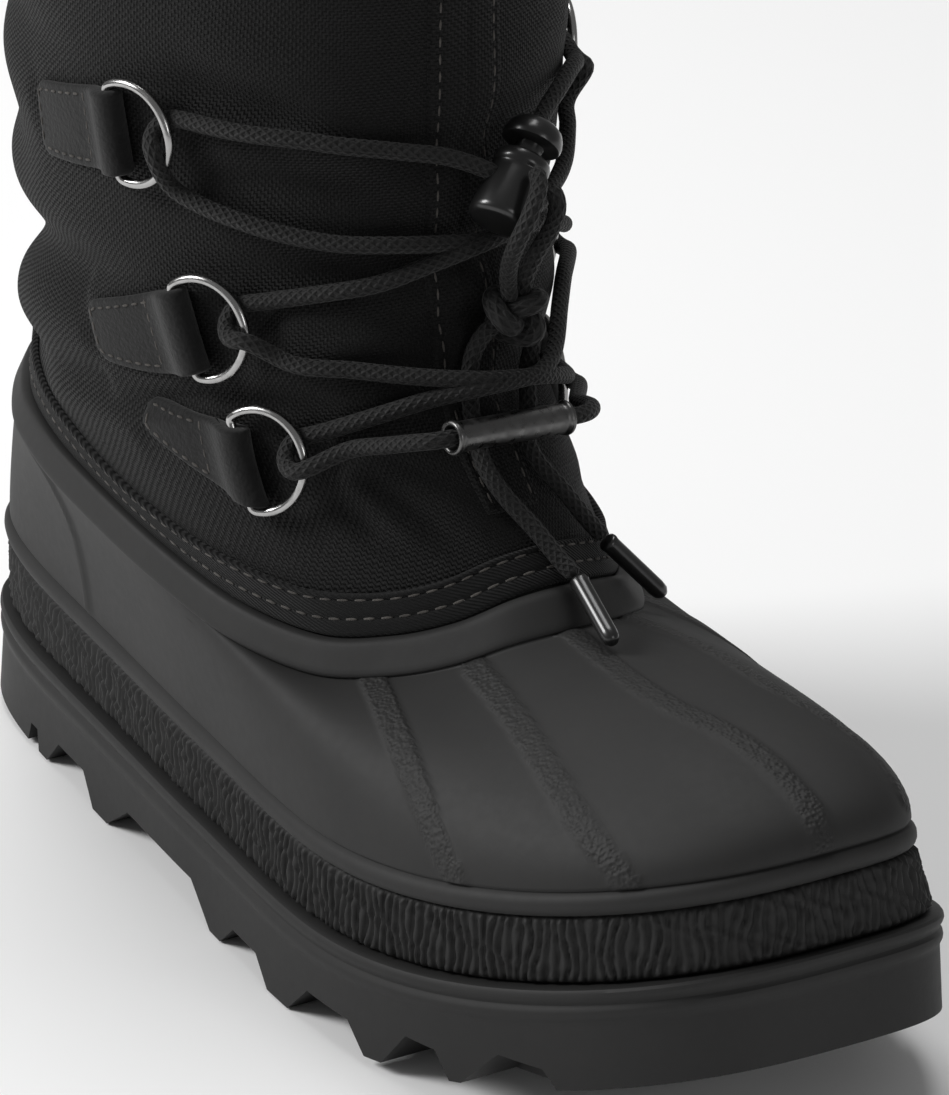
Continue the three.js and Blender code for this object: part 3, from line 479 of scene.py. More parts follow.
# ------------------------------------------------------------------ finishes
class Shader:
    """A node material with one Principled shader, built step by step."""

    def __init__(self, name: str, colour: Sequence[float], roughness: float, **sockets: float) -> None:
        """Start a material with plain values on the shader's own sockets."""
        self.material = bpy.data.materials.new(name)
        self.material.use_nodes = True
        self.nodes = self.material.node_tree.nodes
        self.links = self.material.node_tree.links
        self.shader = next(n for n in self.nodes if n.type == "BSDF_PRINCIPLED")
        self.shader.inputs["Base Color"].default_value = (*colour, 1.0)
        self.shader.inputs["Roughness"].default_value = roughness
        for socket, value in sockets.items():
            self.shader.inputs[socket.replace("_", " ")].default_value = value

    def node(self, kind: str, **settings: object) -> bpy.types.Node:
        """Add a node and set its properties."""
        made = self.nodes.new(kind)
        for label, value in settings.items():
            setattr(made, label, value)
        return made

    def join(self, source: bpy.types.NodeSocket, target: bpy.types.NodeSocket) -> None:
        """Link two sockets."""
        self.links.new(source, target)

    def math(self, operation: str, first: object, second: object = 0.0) -> bpy.types.NodeSocket:
        """A Math node on sockets or numbers."""
        made = self.node("ShaderNodeMath", operation=operation)
        for k, value in enumerate((first, second)):
            if isinstance(value, bpy.types.NodeSocket):
                self.join(value, made.inputs[k])
            else:
                made.inputs[k].default_value = value
        return made.outputs[0]

    def place(self, source: str = "Object", scale: Sequence[float] = (1, 1, 1)) -> bpy.types.NodeSocket:
        """Coordinates in metres times a scale."""
        coordinates = self.node("ShaderNodeTexCoord")
        mapping = self.node("ShaderNodeMapping")
        mapping.inputs["Scale"].default_value = scale
        self.join(coordinates.outputs[source], mapping.inputs["Vector"])
        return mapping.outputs[0]

    def noise(self, scale: float, detail: float = 3.0, source: str = "Object",
              stretch: Sequence[float] = (1, 1, 1)) -> bpy.types.NodeSocket:
        """Noise of a scale in cells a metre."""
        made = self.node("ShaderNodeTexNoise")
        made.inputs["Scale"].default_value = scale
        made.inputs["Detail"].default_value = detail
        self.join(self.place(source, stretch), made.inputs["Vector"])
        return made.outputs["Fac"]

    def pebbles(self, scale: float) -> bpy.types.NodeSocket:
        """Rounded grains of a scale in cells a metre."""
        made = self.node("ShaderNodeTexVoronoi", feature="SMOOTH_F1")
        made.inputs["Scale"].default_value = scale
        self.join(self.place(), made.inputs["Vector"])
        return made.outputs["Distance"]

    def mask(self, name: str) -> bpy.types.NodeSocket:
        """A point attribute of the piece."""
        return self.node("ShaderNodeAttribute", attribute_name=name).outputs["Fac"]

    def mix(self, share: object, first: Sequence[float], second: Sequence[float]) -> bpy.types.NodeSocket:
        """Mix two colours."""
        made = self.node("ShaderNodeMix", data_type="RGBA")
        self.join(share, made.inputs["Factor"])
        made.inputs["A"].default_value = (*first, 1.0)
        made.inputs["B"].default_value = (*second, 1.0)
        return made.outputs["Result"]

    def spread(self, value: bpy.types.NodeSocket, low: float, high: float, to_low: float = 0.0,
               to_high: float = 1.0) -> bpy.types.NodeSocket:
        """Map a range to another, clamped."""
        made = self.node("ShaderNodeMapRange")
        self.join(value, made.inputs["Value"])
        for label, number in zip(("From Min", "From Max", "To Min", "To Max"), (low, high, to_low, to_high)):
            made.inputs[label].default_value = number
        return made.outputs[0]

    def colour(self, source: bpy.types.NodeSocket) -> None:
        """Colour the surface by a socket."""
        self.join(source, self.shader.inputs["Base Color"])

    def rough(self, source: bpy.types.NodeSocket) -> None:
        """Set the roughness by a socket."""
        self.join(source, self.shader.inputs["Roughness"])

    def bump(self, height: bpy.types.NodeSocket, depth: float, strength: float = 1.0) -> None:
        """Add a bump of a depth in millimetres, over any bump made before."""
        made = self.node("ShaderNodeBump")
        made.inputs["Distance"].default_value = depth * MM
        made.inputs["Strength"].default_value = strength
        self.join(height, made.inputs["Height"])
        before = self.shader.inputs["Normal"]
        if before.is_linked:
            self.join(before.links[0].from_socket, made.inputs["Normal"])
        self.join(made.outputs[0], before)


def grey(level: float, warmth: float = 0.0) -> tuple[float, float, float]:
    """A grey with a little warmth."""
    return (level * (1 + warmth), level, level * (1 - warmth))


@dataclass(frozen=True)
class Rubber:
    """Moulded rubber, with grain where the piece has a pebble mask."""

    name: str
    level: float
    roughness: float

    def build(self) -> bpy.types.Material:
        """Make the material."""
        paint = Shader(self.name, grey(self.level), self.roughness, Specular_IOR_Level=0.34)
        cloud = paint.noise(38.0, 4.0)
        paint.colour(paint.mix(paint.spread(cloud, 0.3, 0.7), grey(self.level * 0.9, 0.01),
                               grey(self.level * 1.1, 0.02)))
        patches = paint.noise(420.0, 2.0)
        paint.rough(paint.spread(patches, 0.3, 0.7, self.roughness - 0.015, self.roughness + 0.02))
        paint.bump(paint.noise(1500.0, 2.0), 0.05, 0.35)
        grain = paint.math("MULTIPLY", paint.pebbles(1050.0), paint.mask("pebble"))
        paint.bump(grain, 0.5, 1.0)
        return paint.material


@dataclass(frozen=True)
class Weave:
    """Coarse basket weave of thick yarns, read from the piece's own UV in metres."""

    name: str
    level: float
    pitch: float
    depth: float

    def build(self) -> bpy.types.Material:
        """Make the material."""
        paint = Shader(self.name, grey(self.level), 0.75, Specular_IOR_Level=0.2,
                       Sheen_Weight=0.04, Sheen_Roughness=0.5)
        per_metre = 1000.0 / self.pitch
        split = paint.node("ShaderNodeSeparateXYZ")
        wobble = paint.node("ShaderNodeMixRGB", blend_type="ADD")
        wobble.inputs[0].default_value = 1.0
        paint.join(paint.place("UV", (per_metre, per_metre, per_metre)), wobble.inputs[1])
        stray = paint.node("ShaderNodeTexNoise")
        stray.inputs["Scale"].default_value = 0.35
        paint.join(paint.place("UV", (per_metre, per_metre, per_metre)), stray.inputs["Vector"])
        paint.join(stray.outputs["Color"], wobble.inputs[2])
        paint.join(wobble.outputs[0], split.inputs[0])
        weft, warp = split.outputs[0], split.outputs[1]
        across = paint.math("ABSOLUTE", paint.math("SINE", paint.math("MULTIPLY", weft, math.pi)))
        up = paint.math("ABSOLUTE", paint.math("SINE", paint.math("MULTIPLY", warp, math.pi)))
        cells = paint.math("ADD", paint.math("FLOOR", weft), paint.math("FLOOR", warp))
        over = paint.math("ABSOLUTE", paint.math("MODULO", cells, 2.0))
        under = paint.math("SUBTRACT", 1.0, over)
        yarn = paint.math("ADD", paint.math("MULTIPLY", across, over), paint.math("MULTIPLY", up, under))
        fleck = paint.spread(paint.noise(2600.0, 2.0), 0.45, 0.8)
        # Painted shade: the colour follows the yarn height and is dark in the hollows between the yarns; the
        # flecks are random pale tone on the yarn tops.
        light = paint.math("MULTIPLY", yarn, paint.math("ADD", 0.25, fleck))
        paint.colour(paint.mix(light, grey(self.level * 0.35), grey(self.level * 1.9, 0.01)))
        paint.bump(yarn, self.depth, 1.0)
        paint.bump(paint.noise(160.0, 3.0), 0.8, 0.25)
        return paint.material


@dataclass(frozen=True)
class Twill:
    """Diagonal ribbed tape, read from the piece's own UV in metres."""

    name: str
    level: float
    pitch: float

    def build(self) -> bpy.types.Material:
        """Make the material."""
        paint = Shader(self.name, grey(self.level), 0.8, Specular_IOR_Level=0.2, Sheen_Weight=0.05)
        split = paint.node("ShaderNodeSeparateXYZ")
        paint.join(paint.place("UV", (1000.0, 1000.0, 1.0)), split.inputs[0])
        slant = paint.math("ADD", paint.math("MULTIPLY", split.outputs[0], 0.8), split.outputs[1])
        rib = paint.math("SINE", paint.math("MULTIPLY", slant, 2 * math.pi / self.pitch))
        rib = paint.math("MULTIPLY", paint.math("ADD", rib, 1.0), 0.5)
        fleck = paint.spread(paint.noise(2200.0, 2.0), 0.4, 0.8, 0.4, 1.0)
        # Painted shade: the colour follows the rib height and is dark in the grooves between the ribs; the
        # flecks are random tone.
        light = paint.math("MULTIPLY", rib, fleck)
        paint.colour(paint.mix(light, grey(self.level * 0.5), grey(self.level * 1.6)))
        paint.bump(rib, 0.35, 1.0)
        return paint.material


@dataclass(frozen=True)
class Braid:
    """Round braid with pale flecks, read from the cord's own UV: once round, and millimetres along."""

    name: str
    level: float

    def build(self) -> bpy.types.Material:
        """Make the material."""
        paint = Shader(self.name, grey(self.level), 0.7, Specular_IOR_Level=0.3, Sheen_Weight=0.05)
        split = paint.node("ShaderNodeSeparateXYZ")
        paint.join(paint.place("UV", (1.0, 1000.0, 1.0)), split.inputs[0])
        turn = paint.math("MULTIPLY", split.outputs[0], 2 * math.pi * 7)
        run = paint.math("MULTIPLY", split.outputs[1], 2 * math.pi / 2.4)
        left = paint.math("SINE", paint.math("ADD", turn, run))
        right = paint.math("SINE", paint.math("SUBTRACT", turn, run))
        strand = paint.math("MAXIMUM", left, right)
        height = paint.spread(strand, -0.6, 1.0)
        fleck = paint.spread(paint.noise(1100.0, 2.0), 0.58, 0.72)
        pale = paint.math("MULTIPLY", fleck, paint.spread(strand, 0.5, 1.0))
        # Painted shade: the colour follows the strand height and is darker in the gaps between the strands;
        # the pale flecks are the braid's own colour, shown only on the strand tops.
        paint.colour(paint.mix(paint.math("MAXIMUM", paint.math("MULTIPLY", height, 0.25), pale),
                               grey(self.level * 0.5), grey(self.level * 5.5, 0.02)))
        paint.bump(height, 0.5, 1.0)
        return paint.material


@dataclass(frozen=True)
class Nap:
    """Suede, felt or thread: a matt nap."""

    name: str
    level: float
    warmth: float
    grain: float
    depth: float
    sheen: float = 0.35

    def build(self) -> bpy.types.Material:
        """Make the material."""
        paint = Shader(self.name, grey(self.level), 0.95, Specular_IOR_Level=0.15,
                       Sheen_Weight=self.sheen, Sheen_Roughness=0.6)
        clouds = paint.math("ADD", paint.noise(self.grain, 4.0), paint.noise(90.0, 3.0))
        share = paint.math("MULTIPLY", clouds, 0.5)
        paint.colour(paint.mix(paint.spread(share, 0.35, 0.65), grey(self.level * 0.65, self.warmth),
                               grey(self.level * 1.45, self.warmth)))
        paint.bump(paint.noise(self.grain, 4.0), self.depth, 0.8)
        return paint.material


@dataclass(frozen=True)
class Metal:
    """Polished or satin metal with faint wear."""

    name: str
    level: float
    roughness: float

    def build(self) -> bpy.types.Material:
        """Make the material."""
        paint = Shader(self.name, grey(self.level), self.roughness, Metallic=1.0)
        wear = paint.noise(500.0, 4.0)
        paint.rough(paint.spread(wear, 0.35, 0.75, self.roughness * 0.7, self.roughness * 1.7))
        worn = grey(self.level * 0.85, 0.01)
        paint.colour(paint.mix(paint.spread(wear, 0.3, 0.8), grey(self.level, 0.01), worn))
        paint.bump(paint.noise(900.0, 2.0), 0.03, 0.3)
        return paint.material


@dataclass(frozen=True)
class Gloss:
    """Glossy moulded plastic."""

    name: str
    level: float
    roughness: float

    def build(self) -> bpy.types.Material:
        """Make the material."""
        paint = Shader(self.name, grey(self.level), self.roughness, Coat_Weight=0.25, Coat_Roughness=0.12)
        paint.colour(paint.mix(paint.spread(paint.noise(120.0, 3.0), 0.3, 0.7), grey(self.level * 0.9),
                               grey(self.level * 1.1)))
        paint.bump(paint.noise(260.0, 2.0), 0.05, 0.3)
        return paint.material


@dataclass
class Finishes:
    """All finishes of the boot."""

    shell: bpy.types.Material
    foxing: bpy.types.Material
    sole: bpy.types.Material
    nylon: bpy.types.Material
    tape: bpy.types.Material
    suede: bpy.types.Material
    felt: bpy.types.Material
    thread: bpy.types.Material
    dark_thread: bpy.types.Material
    steel: bpy.types.Material
    gunmetal: bpy.types.Material
    braid: bpy.types.Material
    plastic: bpy.types.Material

    @classmethod
    def build(cls) -> "Finishes":
        """Make every finish."""
        return cls(
            shell=Rubber("shell_rubber", 0.016, 0.66).build(),
            foxing=Rubber("foxing_rubber", 0.009, 0.62).build(),
            sole=Rubber("sole_rubber", 0.011, 0.6).build(),
            nylon=Weave("basket_nylon", 0.005, 0.85, 0.34).build(),
            tape=Twill("twill_tape", 0.008, 1.3).build(),
            suede=Nap("suede", 0.007, 0.0, 900.0, 0.35, 0.12).build(),
            felt=Nap("felt", 0.02, 0.0, 500.0, 0.9, 0.2).build(),
            thread=Nap("pale_thread", 0.055, 0.08, 2000.0, 0.1, 0.1).build(),
            dark_thread=Nap("grey_thread", 0.06, 0.08, 2000.0, 0.1, 0.1).build(),
            steel=Metal("polished_steel", 0.42, 0.2).build(),
            gunmetal=Metal("gunmetal", 0.14, 0.34).build(),
            braid=Braid("black_braid", 0.006).build(),
            plastic=Gloss("dark_plastic", 0.009, 0.3).build(),
        )


# ------------------------------------------------------------------ shell
@dataclass
class Strip:
    """A raised pebbled strip on the toe, as plan points from the rim to the bead."""

    points: Sequence[tuple[float, float]]


@dataclass
class Shell:
    """The moulded rubber foot: bead, dome with strips, heel ridge and rim band."""

    around: int = 560
    strip_half: float = 3.1
    strip_height: float = 0.45
    ridge_half: float = 1.5
    ridge_height: float = 1.0
    strips: Sequence[Strip] = (
        Strip([(38, -34), (58, -40.6), (75, -45.7), (88, -48.4), (97, -49)]),
        Strip([(57, -19), (80, -23.4), (104, -28.5), (123, -31.4), (137, -30.5)]),
        Strip([(65, 2), (87, 0.2), (105, 1), (120, 5.5), (134, 7.6), (147, 8.4), (154.5, 8)]),
        Strip([(58, 21), (81, 27.2), (103, 28.5), (118, 34), (131, 38), (145, 36)]),
        Strip([(38, 38), (58, 45), (75, 50), (88, 53), (98, 54)]),
    )
    heel_ridge: Sequence[tuple[float, float, float]] = (
        (-110, -44, 91), (-101, -45, 87), (-91, -46.5, 81), (-85, -45, 73.5), (-83, -41.5, 65),
        (-83.6, -39.4, 57), (-84, -38.8, 49))

    def outside(self, turns: Array) -> tuple[Array, slice]:
        """Rows of the outer face, and which of them are the dome."""
        foot = [(-3.2, 24.9), (-3.2, 40.2), (-2.6, 40.7), (-1.5, 41.2), (-0.7, 41.9), (-0.2, 42.8),
                (0.0, 43.7), (-0.1, 44.6), (-0.5, 45.5), (-1.1, 46.2), (-1.8, 46.6), (-2.0, 46.8)]
        rows = [FORM.sole_point(turns, out, z) for out, z in foot]
        first = len(rows)
        rows += [FORM.dome(turns, climb) for climb in np.linspace(0.012, 1, 92)]
        band = slice(first, len(rows))
        profile = [(0.5, 0.0), (0.95, 0.03), (1.25, 0.09), (1.35, 0.18), (1.2, 0.3), (1.0, 0.45),
                   (0.8, 0.6), (0.6, 0.75), (0.4, 0.88), (0.15, 0.96), (-0.3, 1.0), (-1.0, 1.02),
                   (-1.9, 1.02), (-2.6, 0.99)]
        rows += [FORM.lip(turns, out, up) for out, up in profile]
        return np.stack(rows), band

    def inside(self, turns: Array) -> Array:
        """Rows of the inner face, from the rim down."""
        rows = [FORM.lip(turns, -FORM.rubber, 0.9), FORM.lip(turns, -FORM.rubber, 0.45)]
        for climb in (0.97, 0.86, 0.72, 0.58, 0.44, 0.3, 0.17, 0.07):
            rows.append(FORM.inset(FORM.dome, turns, climb, FORM.rubber))
        rows += [FORM.sole_point(turns, -5.2, z) for z in (45.6, 35.0, 24.9)]
        return np.stack(rows)

    @staticmethod
    def laid(dome: Array, plan: Sequence[tuple[float, float]]) -> Array:
        """Lay a plan line on the dome, as points 2 mm apart."""
        line = smooth_path([(x, y, 0.0) for x, y in plan], 2.0)
        flat = dome.reshape(-1, 3)
        for k, spot in enumerate(line):
            near = np.argsort(np.hypot(flat[:, 0] - spot[0], flat[:, 1] - spot[1]))[:4]
            line[k, 2] = flat[near, 2].mean()
        return line

    @staticmethod
    def distance(points: Array, line: Array) -> Array:
        """Distance from each point to a line of short pieces."""
        flat = points.reshape(-1, 3)
        best = np.full(len(flat), 1e9)
        for start, end in zip(line[:-1], line[1:]):
            along = end - start
            share = np.clip((flat - start) @ along / max(along @ along, 1e-9), 0, 1)
            best = np.minimum(best, np.linalg.norm(flat - start - share[:, None] * along, axis=1))
        return best.reshape(points.shape[:-1])

    def build(self, finishes: Finishes) -> None:
        """Make the shell and dress it."""
        turns = FORM.even_turns(self.around)
        outer, band = self.outside(turns)
        rows = np.concatenate([outer, self.inside(turns)])
        dome = rows[band]
        around = np.roll(dome, -1, 1) - np.roll(dome, 1, 1)
        normal = unit(np.cross(around, np.gradient(dome, axis=0)))
        pebble = np.zeros(rows.shape[:2])
        raised = np.zeros(dome.shape[:2])
        for strip in self.strips:
            away = self.distance(dome, self.laid(dome, strip.points))
            share = 1 - smoothstep(self.strip_half - 0.7, self.strip_half + 0.5, away)
            raised = np.maximum(raised, share * self.strip_height)
            grain = 1 - smoothstep(self.strip_half - 0.6, self.strip_half, away)
            pebble[band] = np.maximum(pebble[band], grain)
        flat = dome.reshape(-1, 3)
        ridge = smooth_path(self.heel_ridge, 2.0)
        ridge = np.stack([flat[np.argmin(((flat - spot) ** 2).sum(1))] for spot in ridge])
        away = np.minimum(self.distance(dome, ridge), self.distance(dome, ridge * [1, -1, 1] + [0, 1.5, 0]))
        raised = np.maximum(raised, self.ridge_height * np.exp(-(away / self.ridge_half) ** 2))
        rows[band] = dome + normal * raised[..., None]
        piece = wrap("rubber_shell", rows, rows_closed=True, masks={"pebble": pebble})
        settle(piece, "shell_rubber", finishes.shell, "shell")


@dataclass
class Foxing:
    """The bark-ribbed band round the foot, between the sole and the bead."""

    around: int = 1500
    low: float = 24.9
    high: float = 40.9
    rib_pitch: float = 2.4
    rib_depth: float = 1.7

    def relief(self, travel: Array, height: Array) -> Array:
        """Height of the ribs: wavy upright ridges that split and close."""
        drift = (0.7 * np.sin(travel * 0.23 + height * 0.31)
                 + 0.5 * np.sin(travel * 0.41 - height * 0.37 + 1.3)
                 + 0.22 * np.sin(travel * 0.97 + height * 0.7 + 0.4)
                 + 0.12 * np.sin(travel * 1.9 - height * 1.2))
        wave = np.abs(np.sin(np.pi * (travel / self.rib_pitch + 0.32 * drift)))
        knots = 0.5 + 0.5 * np.sin(travel * 0.8 + 1.9 * np.sin(height * 0.7 + travel * 0.21) + height * 0.8)
        return wave ** 0.85 * (0.62 + 0.38 * knots)

    def build(self, finishes: Finishes) -> None:
        """Make the band and dress it."""
        turns = FORM.even_turns(self.around)
        levels = np.linspace(self.low, self.high, 22)
        base = FORM.sole_point(turns, -2.2, 30.0)
        step = np.linalg.norm(np.roll(base, -1, 0) - base, axis=1)
        travel = np.concatenate([[0], np.cumsum(step)[:-1]])
        travel *= round(step.sum() / self.rib_pitch) * self.rib_pitch / step.sum()
        rows = []
        for level in levels:
            fade = smoothstep(self.low, self.low + 1.0, level)
            fade = fade * (1 - smoothstep(self.high - 1.2, self.high, level))
            out = -2.4 + self.rib_depth * fade * self.relief(travel, np.full_like(travel, level))
            rows.append(FORM.sole_point(turns, out, level))
        rows += [FORM.sole_point(turns, -3.6, level) for level in (self.high, self.low)]
        piece = wrap("foxing_band", np.stack(rows), rows_closed=True)
        settle(piece, "shell_rubber", finishes.foxing)


# ------------------------------------------------------------------ sole
@dataclass
class Groove:
    """A groove between lugs: from and to along the foot, taper of its ends, and depth."""

    start: float
    end: float
    taper: float
    depth: float


@dataclass
class Sole:
    """The outsole with its beads and lugs, and the insole."""

    around: int = 420
    channel: tuple[float, float, float] = (-24.0, -30.0, 6.0)
    below: float = 4.0
    side_grooves: Sequence[Groove] = (
        Groove(-118, -111, 1.5, 5), Groove(-106, -76, 7, 7), Groove(-67, -4, 12, 8), Groove(2, 29, 7, 6),
        Groove(40, 73, 8, 7.5), Groove(79, 100, 6, 7.5), Groove(105, 128, 6, 6.5))
    middle_grooves: Sequence[Groove] = (
        Groove(-104, -96, 1.5, 6), Groove(-62, -14, 6, 6), Groove(16, 24, 1.5, 6), Groove(50, 58, 1.5, 6),
        Groove(84, 92, 1.5, 6))
    wall: Sequence[tuple[float, float]] = (
        (1.6, 0), (1.4, 3), (1.15, 7), (0.9, 11), (0.65, 15), (0.6, 16), (0.85, 16.6), (1.15, 17.3),
        (1.25, 18.2), (1.05, 19.1), (0.65, 19.7), (0.45, 20.2), (0.6, 20.8), (1.05, 21.5), (1.3, 22.3),
        (1.15, 23.2), (0.7, 23.9), (-0.3, 24.4), (-4.0, 24.5))

    def body(self) -> bpy.types.Object:
        """The sole before its lugs are cut."""
        turns = FORM.even_turns(self.around)
        rows = np.stack([FORM.sole_point(turns, out, z) for out, z in self.wall])
        piece = wrap("lugged_outsole", rows, masks={"pebble": np.zeros(rows.shape[:2])})
        self.cap(piece, rows[0])
        self.cap(piece, rows[-1])
        merge(piece)
        return piece

    @staticmethod
    def cap(piece: bpy.types.Object, loop: Array) -> None:
        """Close one end by strips across the foot, between points with the same length share."""
        half = len(loop) // 2
        pairs = np.stack([loop[:half + 1], loop[-np.arange(half + 1) % len(loop)]], 1)
        lid = wrap("lid", pairs, round_closed=False)
        only(piece)
        lid.select_set(True)
        bpy.ops.object.join()

    def cutter(self, groove: Groove, near: float, far: float) -> bpy.types.Object:
        """A wedge that cuts one groove between two distances across the foot."""
        ground = float(FORM.spring(np.array((groove.start + groove.end) / 2)))
        spread = groove.taper * self.below / groove.depth
        alone()
        bpy.ops.mesh.primitive_cube_add(size=2, location=(0, 0, 0))
        wedge = bpy.context.object
        for corner in wedge.data.vertices:
            ahead, up, across = corner.co.x > 0, corner.co.z > 0, corner.co.y > 0
            inwards = groove.taper if up else -spread
            corner.co.x = (groove.end - inwards if ahead else groove.start + inwards) * MM
            corner.co.y = (max(near, far) if across else min(near, far)) * MM
            corner.co.z = (ground + (groove.depth if up else -self.below)) * MM
        return wedge

    @staticmethod
    def cut(piece: bpy.types.Object, cutters: Sequence[bpy.types.Object]) -> None:
        """Cut joined cutters out of the sole."""
        alone()
        for cutter in cutters:
            cutter.select_set(True)
        bpy.context.view_layer.objects.active = cutters[0]
        bpy.ops.object.join()
        tool = bpy.context.object
        only(piece)
        step = piece.modifiers.new("grooves", "BOOLEAN")
        step.operation = "DIFFERENCE"
        step.solver = "EXACT"
        step.object = tool
        bpy.ops.object.modifier_apply(modifier=step.name)
        bpy.data.objects.remove(tool)

    def build(self, finishes: Finishes) -> None:
        """Make the outsole and insole and dress them."""
        piece = self.body()
        outer, inner, depth = self.channel
        sides, middles = [], []
        for groove in self.side_grooves:
            u = np.array((groove.start + groove.end) / (FORM.length))
            for side in (-1, 1):
                half = float(FORM.widths.at("inner" if side > 0 else "outer", u)) + outer - 2
                sides.append(self.cutter(groove, side * half, side * 120.0))
        for groove in self.middle_grooves:
            u = np.array((groove.start + groove.end) / (FORM.length))
            half = float(FORM.widths.at("inner", u)) + inner + 2
            middles.append(self.cutter(groove, -half, half))
        turns = FORM.even_turns(120)
        section = [(outer, -self.below), (outer, depth), (inner, depth), (inner, -self.below)]
        rows = np.stack([FORM.sole_point(turns, out, z) for out, z in section])
        ring = wrap("channel", rows, rows_closed=True)
        for cutters in (sides, middles, [ring]):
            self.cut(piece, cutters)
        only(piece)
        bpy.ops.object.shade_smooth_by_angle(angle=math.radians(28))
        settle(piece, "sole_rubber", finishes.sole, "outsole")
        turns = FORM.even_turns(200)
        section = [(-7.0, 24.9), (-6.2, 25.2), (-6.2, 29.0), (-6.8, 29.8), (-8.5, 30.1), (-14.0, 29.9)]
        rows = np.stack([FORM.sole_point(turns, out, z) for out, z in section])
        footbed = wrap("felt_insole", rows)
        self.cap(footbed, rows[0])
        self.cap(footbed, rows[-1])
        merge(footbed)
        settle(footbed, "lining", finishes.felt, "insole")


# ------------------------------------------------------------------ shaft
@dataclass
class Fold:
    """A soft trough or ridge in the cloth: middle, heading, size, and depth, below zero for a trough."""

    turn: float
    height: float
    heading: float
    length: float
    width: float
    depth: float


@dataclass
class Fastening:
    """One row of rings: place on the shaft, tilt of the pull, and the far end of its tab."""

    name: str
    outer: float
    inner: float
    share: float
    tilt: float
    length: float
    far_height: float
    far_rise: float


FASTENINGS = (
    Fastening("top", 71.8, 75, 0.61, 6.6, 31, 17, -0.5),
    Fastening("middle", 58.9, 76, 0.356, 11.7, 31, 13, 2),
    Fastening("bottom", 53.1, 70, 0.18, 11.7, 27, 9, 4),
)
RING_RADIUS, RING_WIRE, RING_MIDDLE, RING_DIP = 11.8, 1.15, 5.0, math.radians(4)
SLEEVE_LIFT, TAB_NEAR = 3.9, 20.0


@dataclass
class Axes:
    """Local directions of one fastening on the shaft, in millimetres."""

    turn: float
    share: float
    centre: Array
    round: Array
    climb: Array
    out: Array
    pull: Array
    bar: Array
    reach: Array
    origin: Array


def fastening_axes(row: Fastening, side: Side) -> Axes:
    """Directions of a fastening: pull to the front, bar along the ring's straight side."""
    turn = side.value * math.radians(row.outer if side is Side.OUTER else row.inner)
    centre = FORM.shaft_face(turn, row.share)
    around = (FORM.shaft_face(turn + 0.01, row.share) - FORM.shaft_face(turn - 0.01, row.share)) / 0.02
    climb = (FORM.shaft_face(turn, row.share + 0.01) - FORM.shaft_face(turn, row.share - 0.01)) / 0.02
    out = unit(np.cross(around, climb))
    forward = unit(-side.value * around)
    up = unit(-side.value * np.cross(out, forward))
    tilt = math.radians(row.tilt)
    pull = forward * math.cos(tilt) + up * math.sin(tilt)
    bar = up * math.cos(tilt) - forward * math.sin(tilt)
    reach = pull * math.cos(RING_DIP) - out * math.sin(RING_DIP)
    return Axes(turn, row.share, centre, around, climb, out, pull, bar, reach, centre + out * SLEEVE_LIFT)


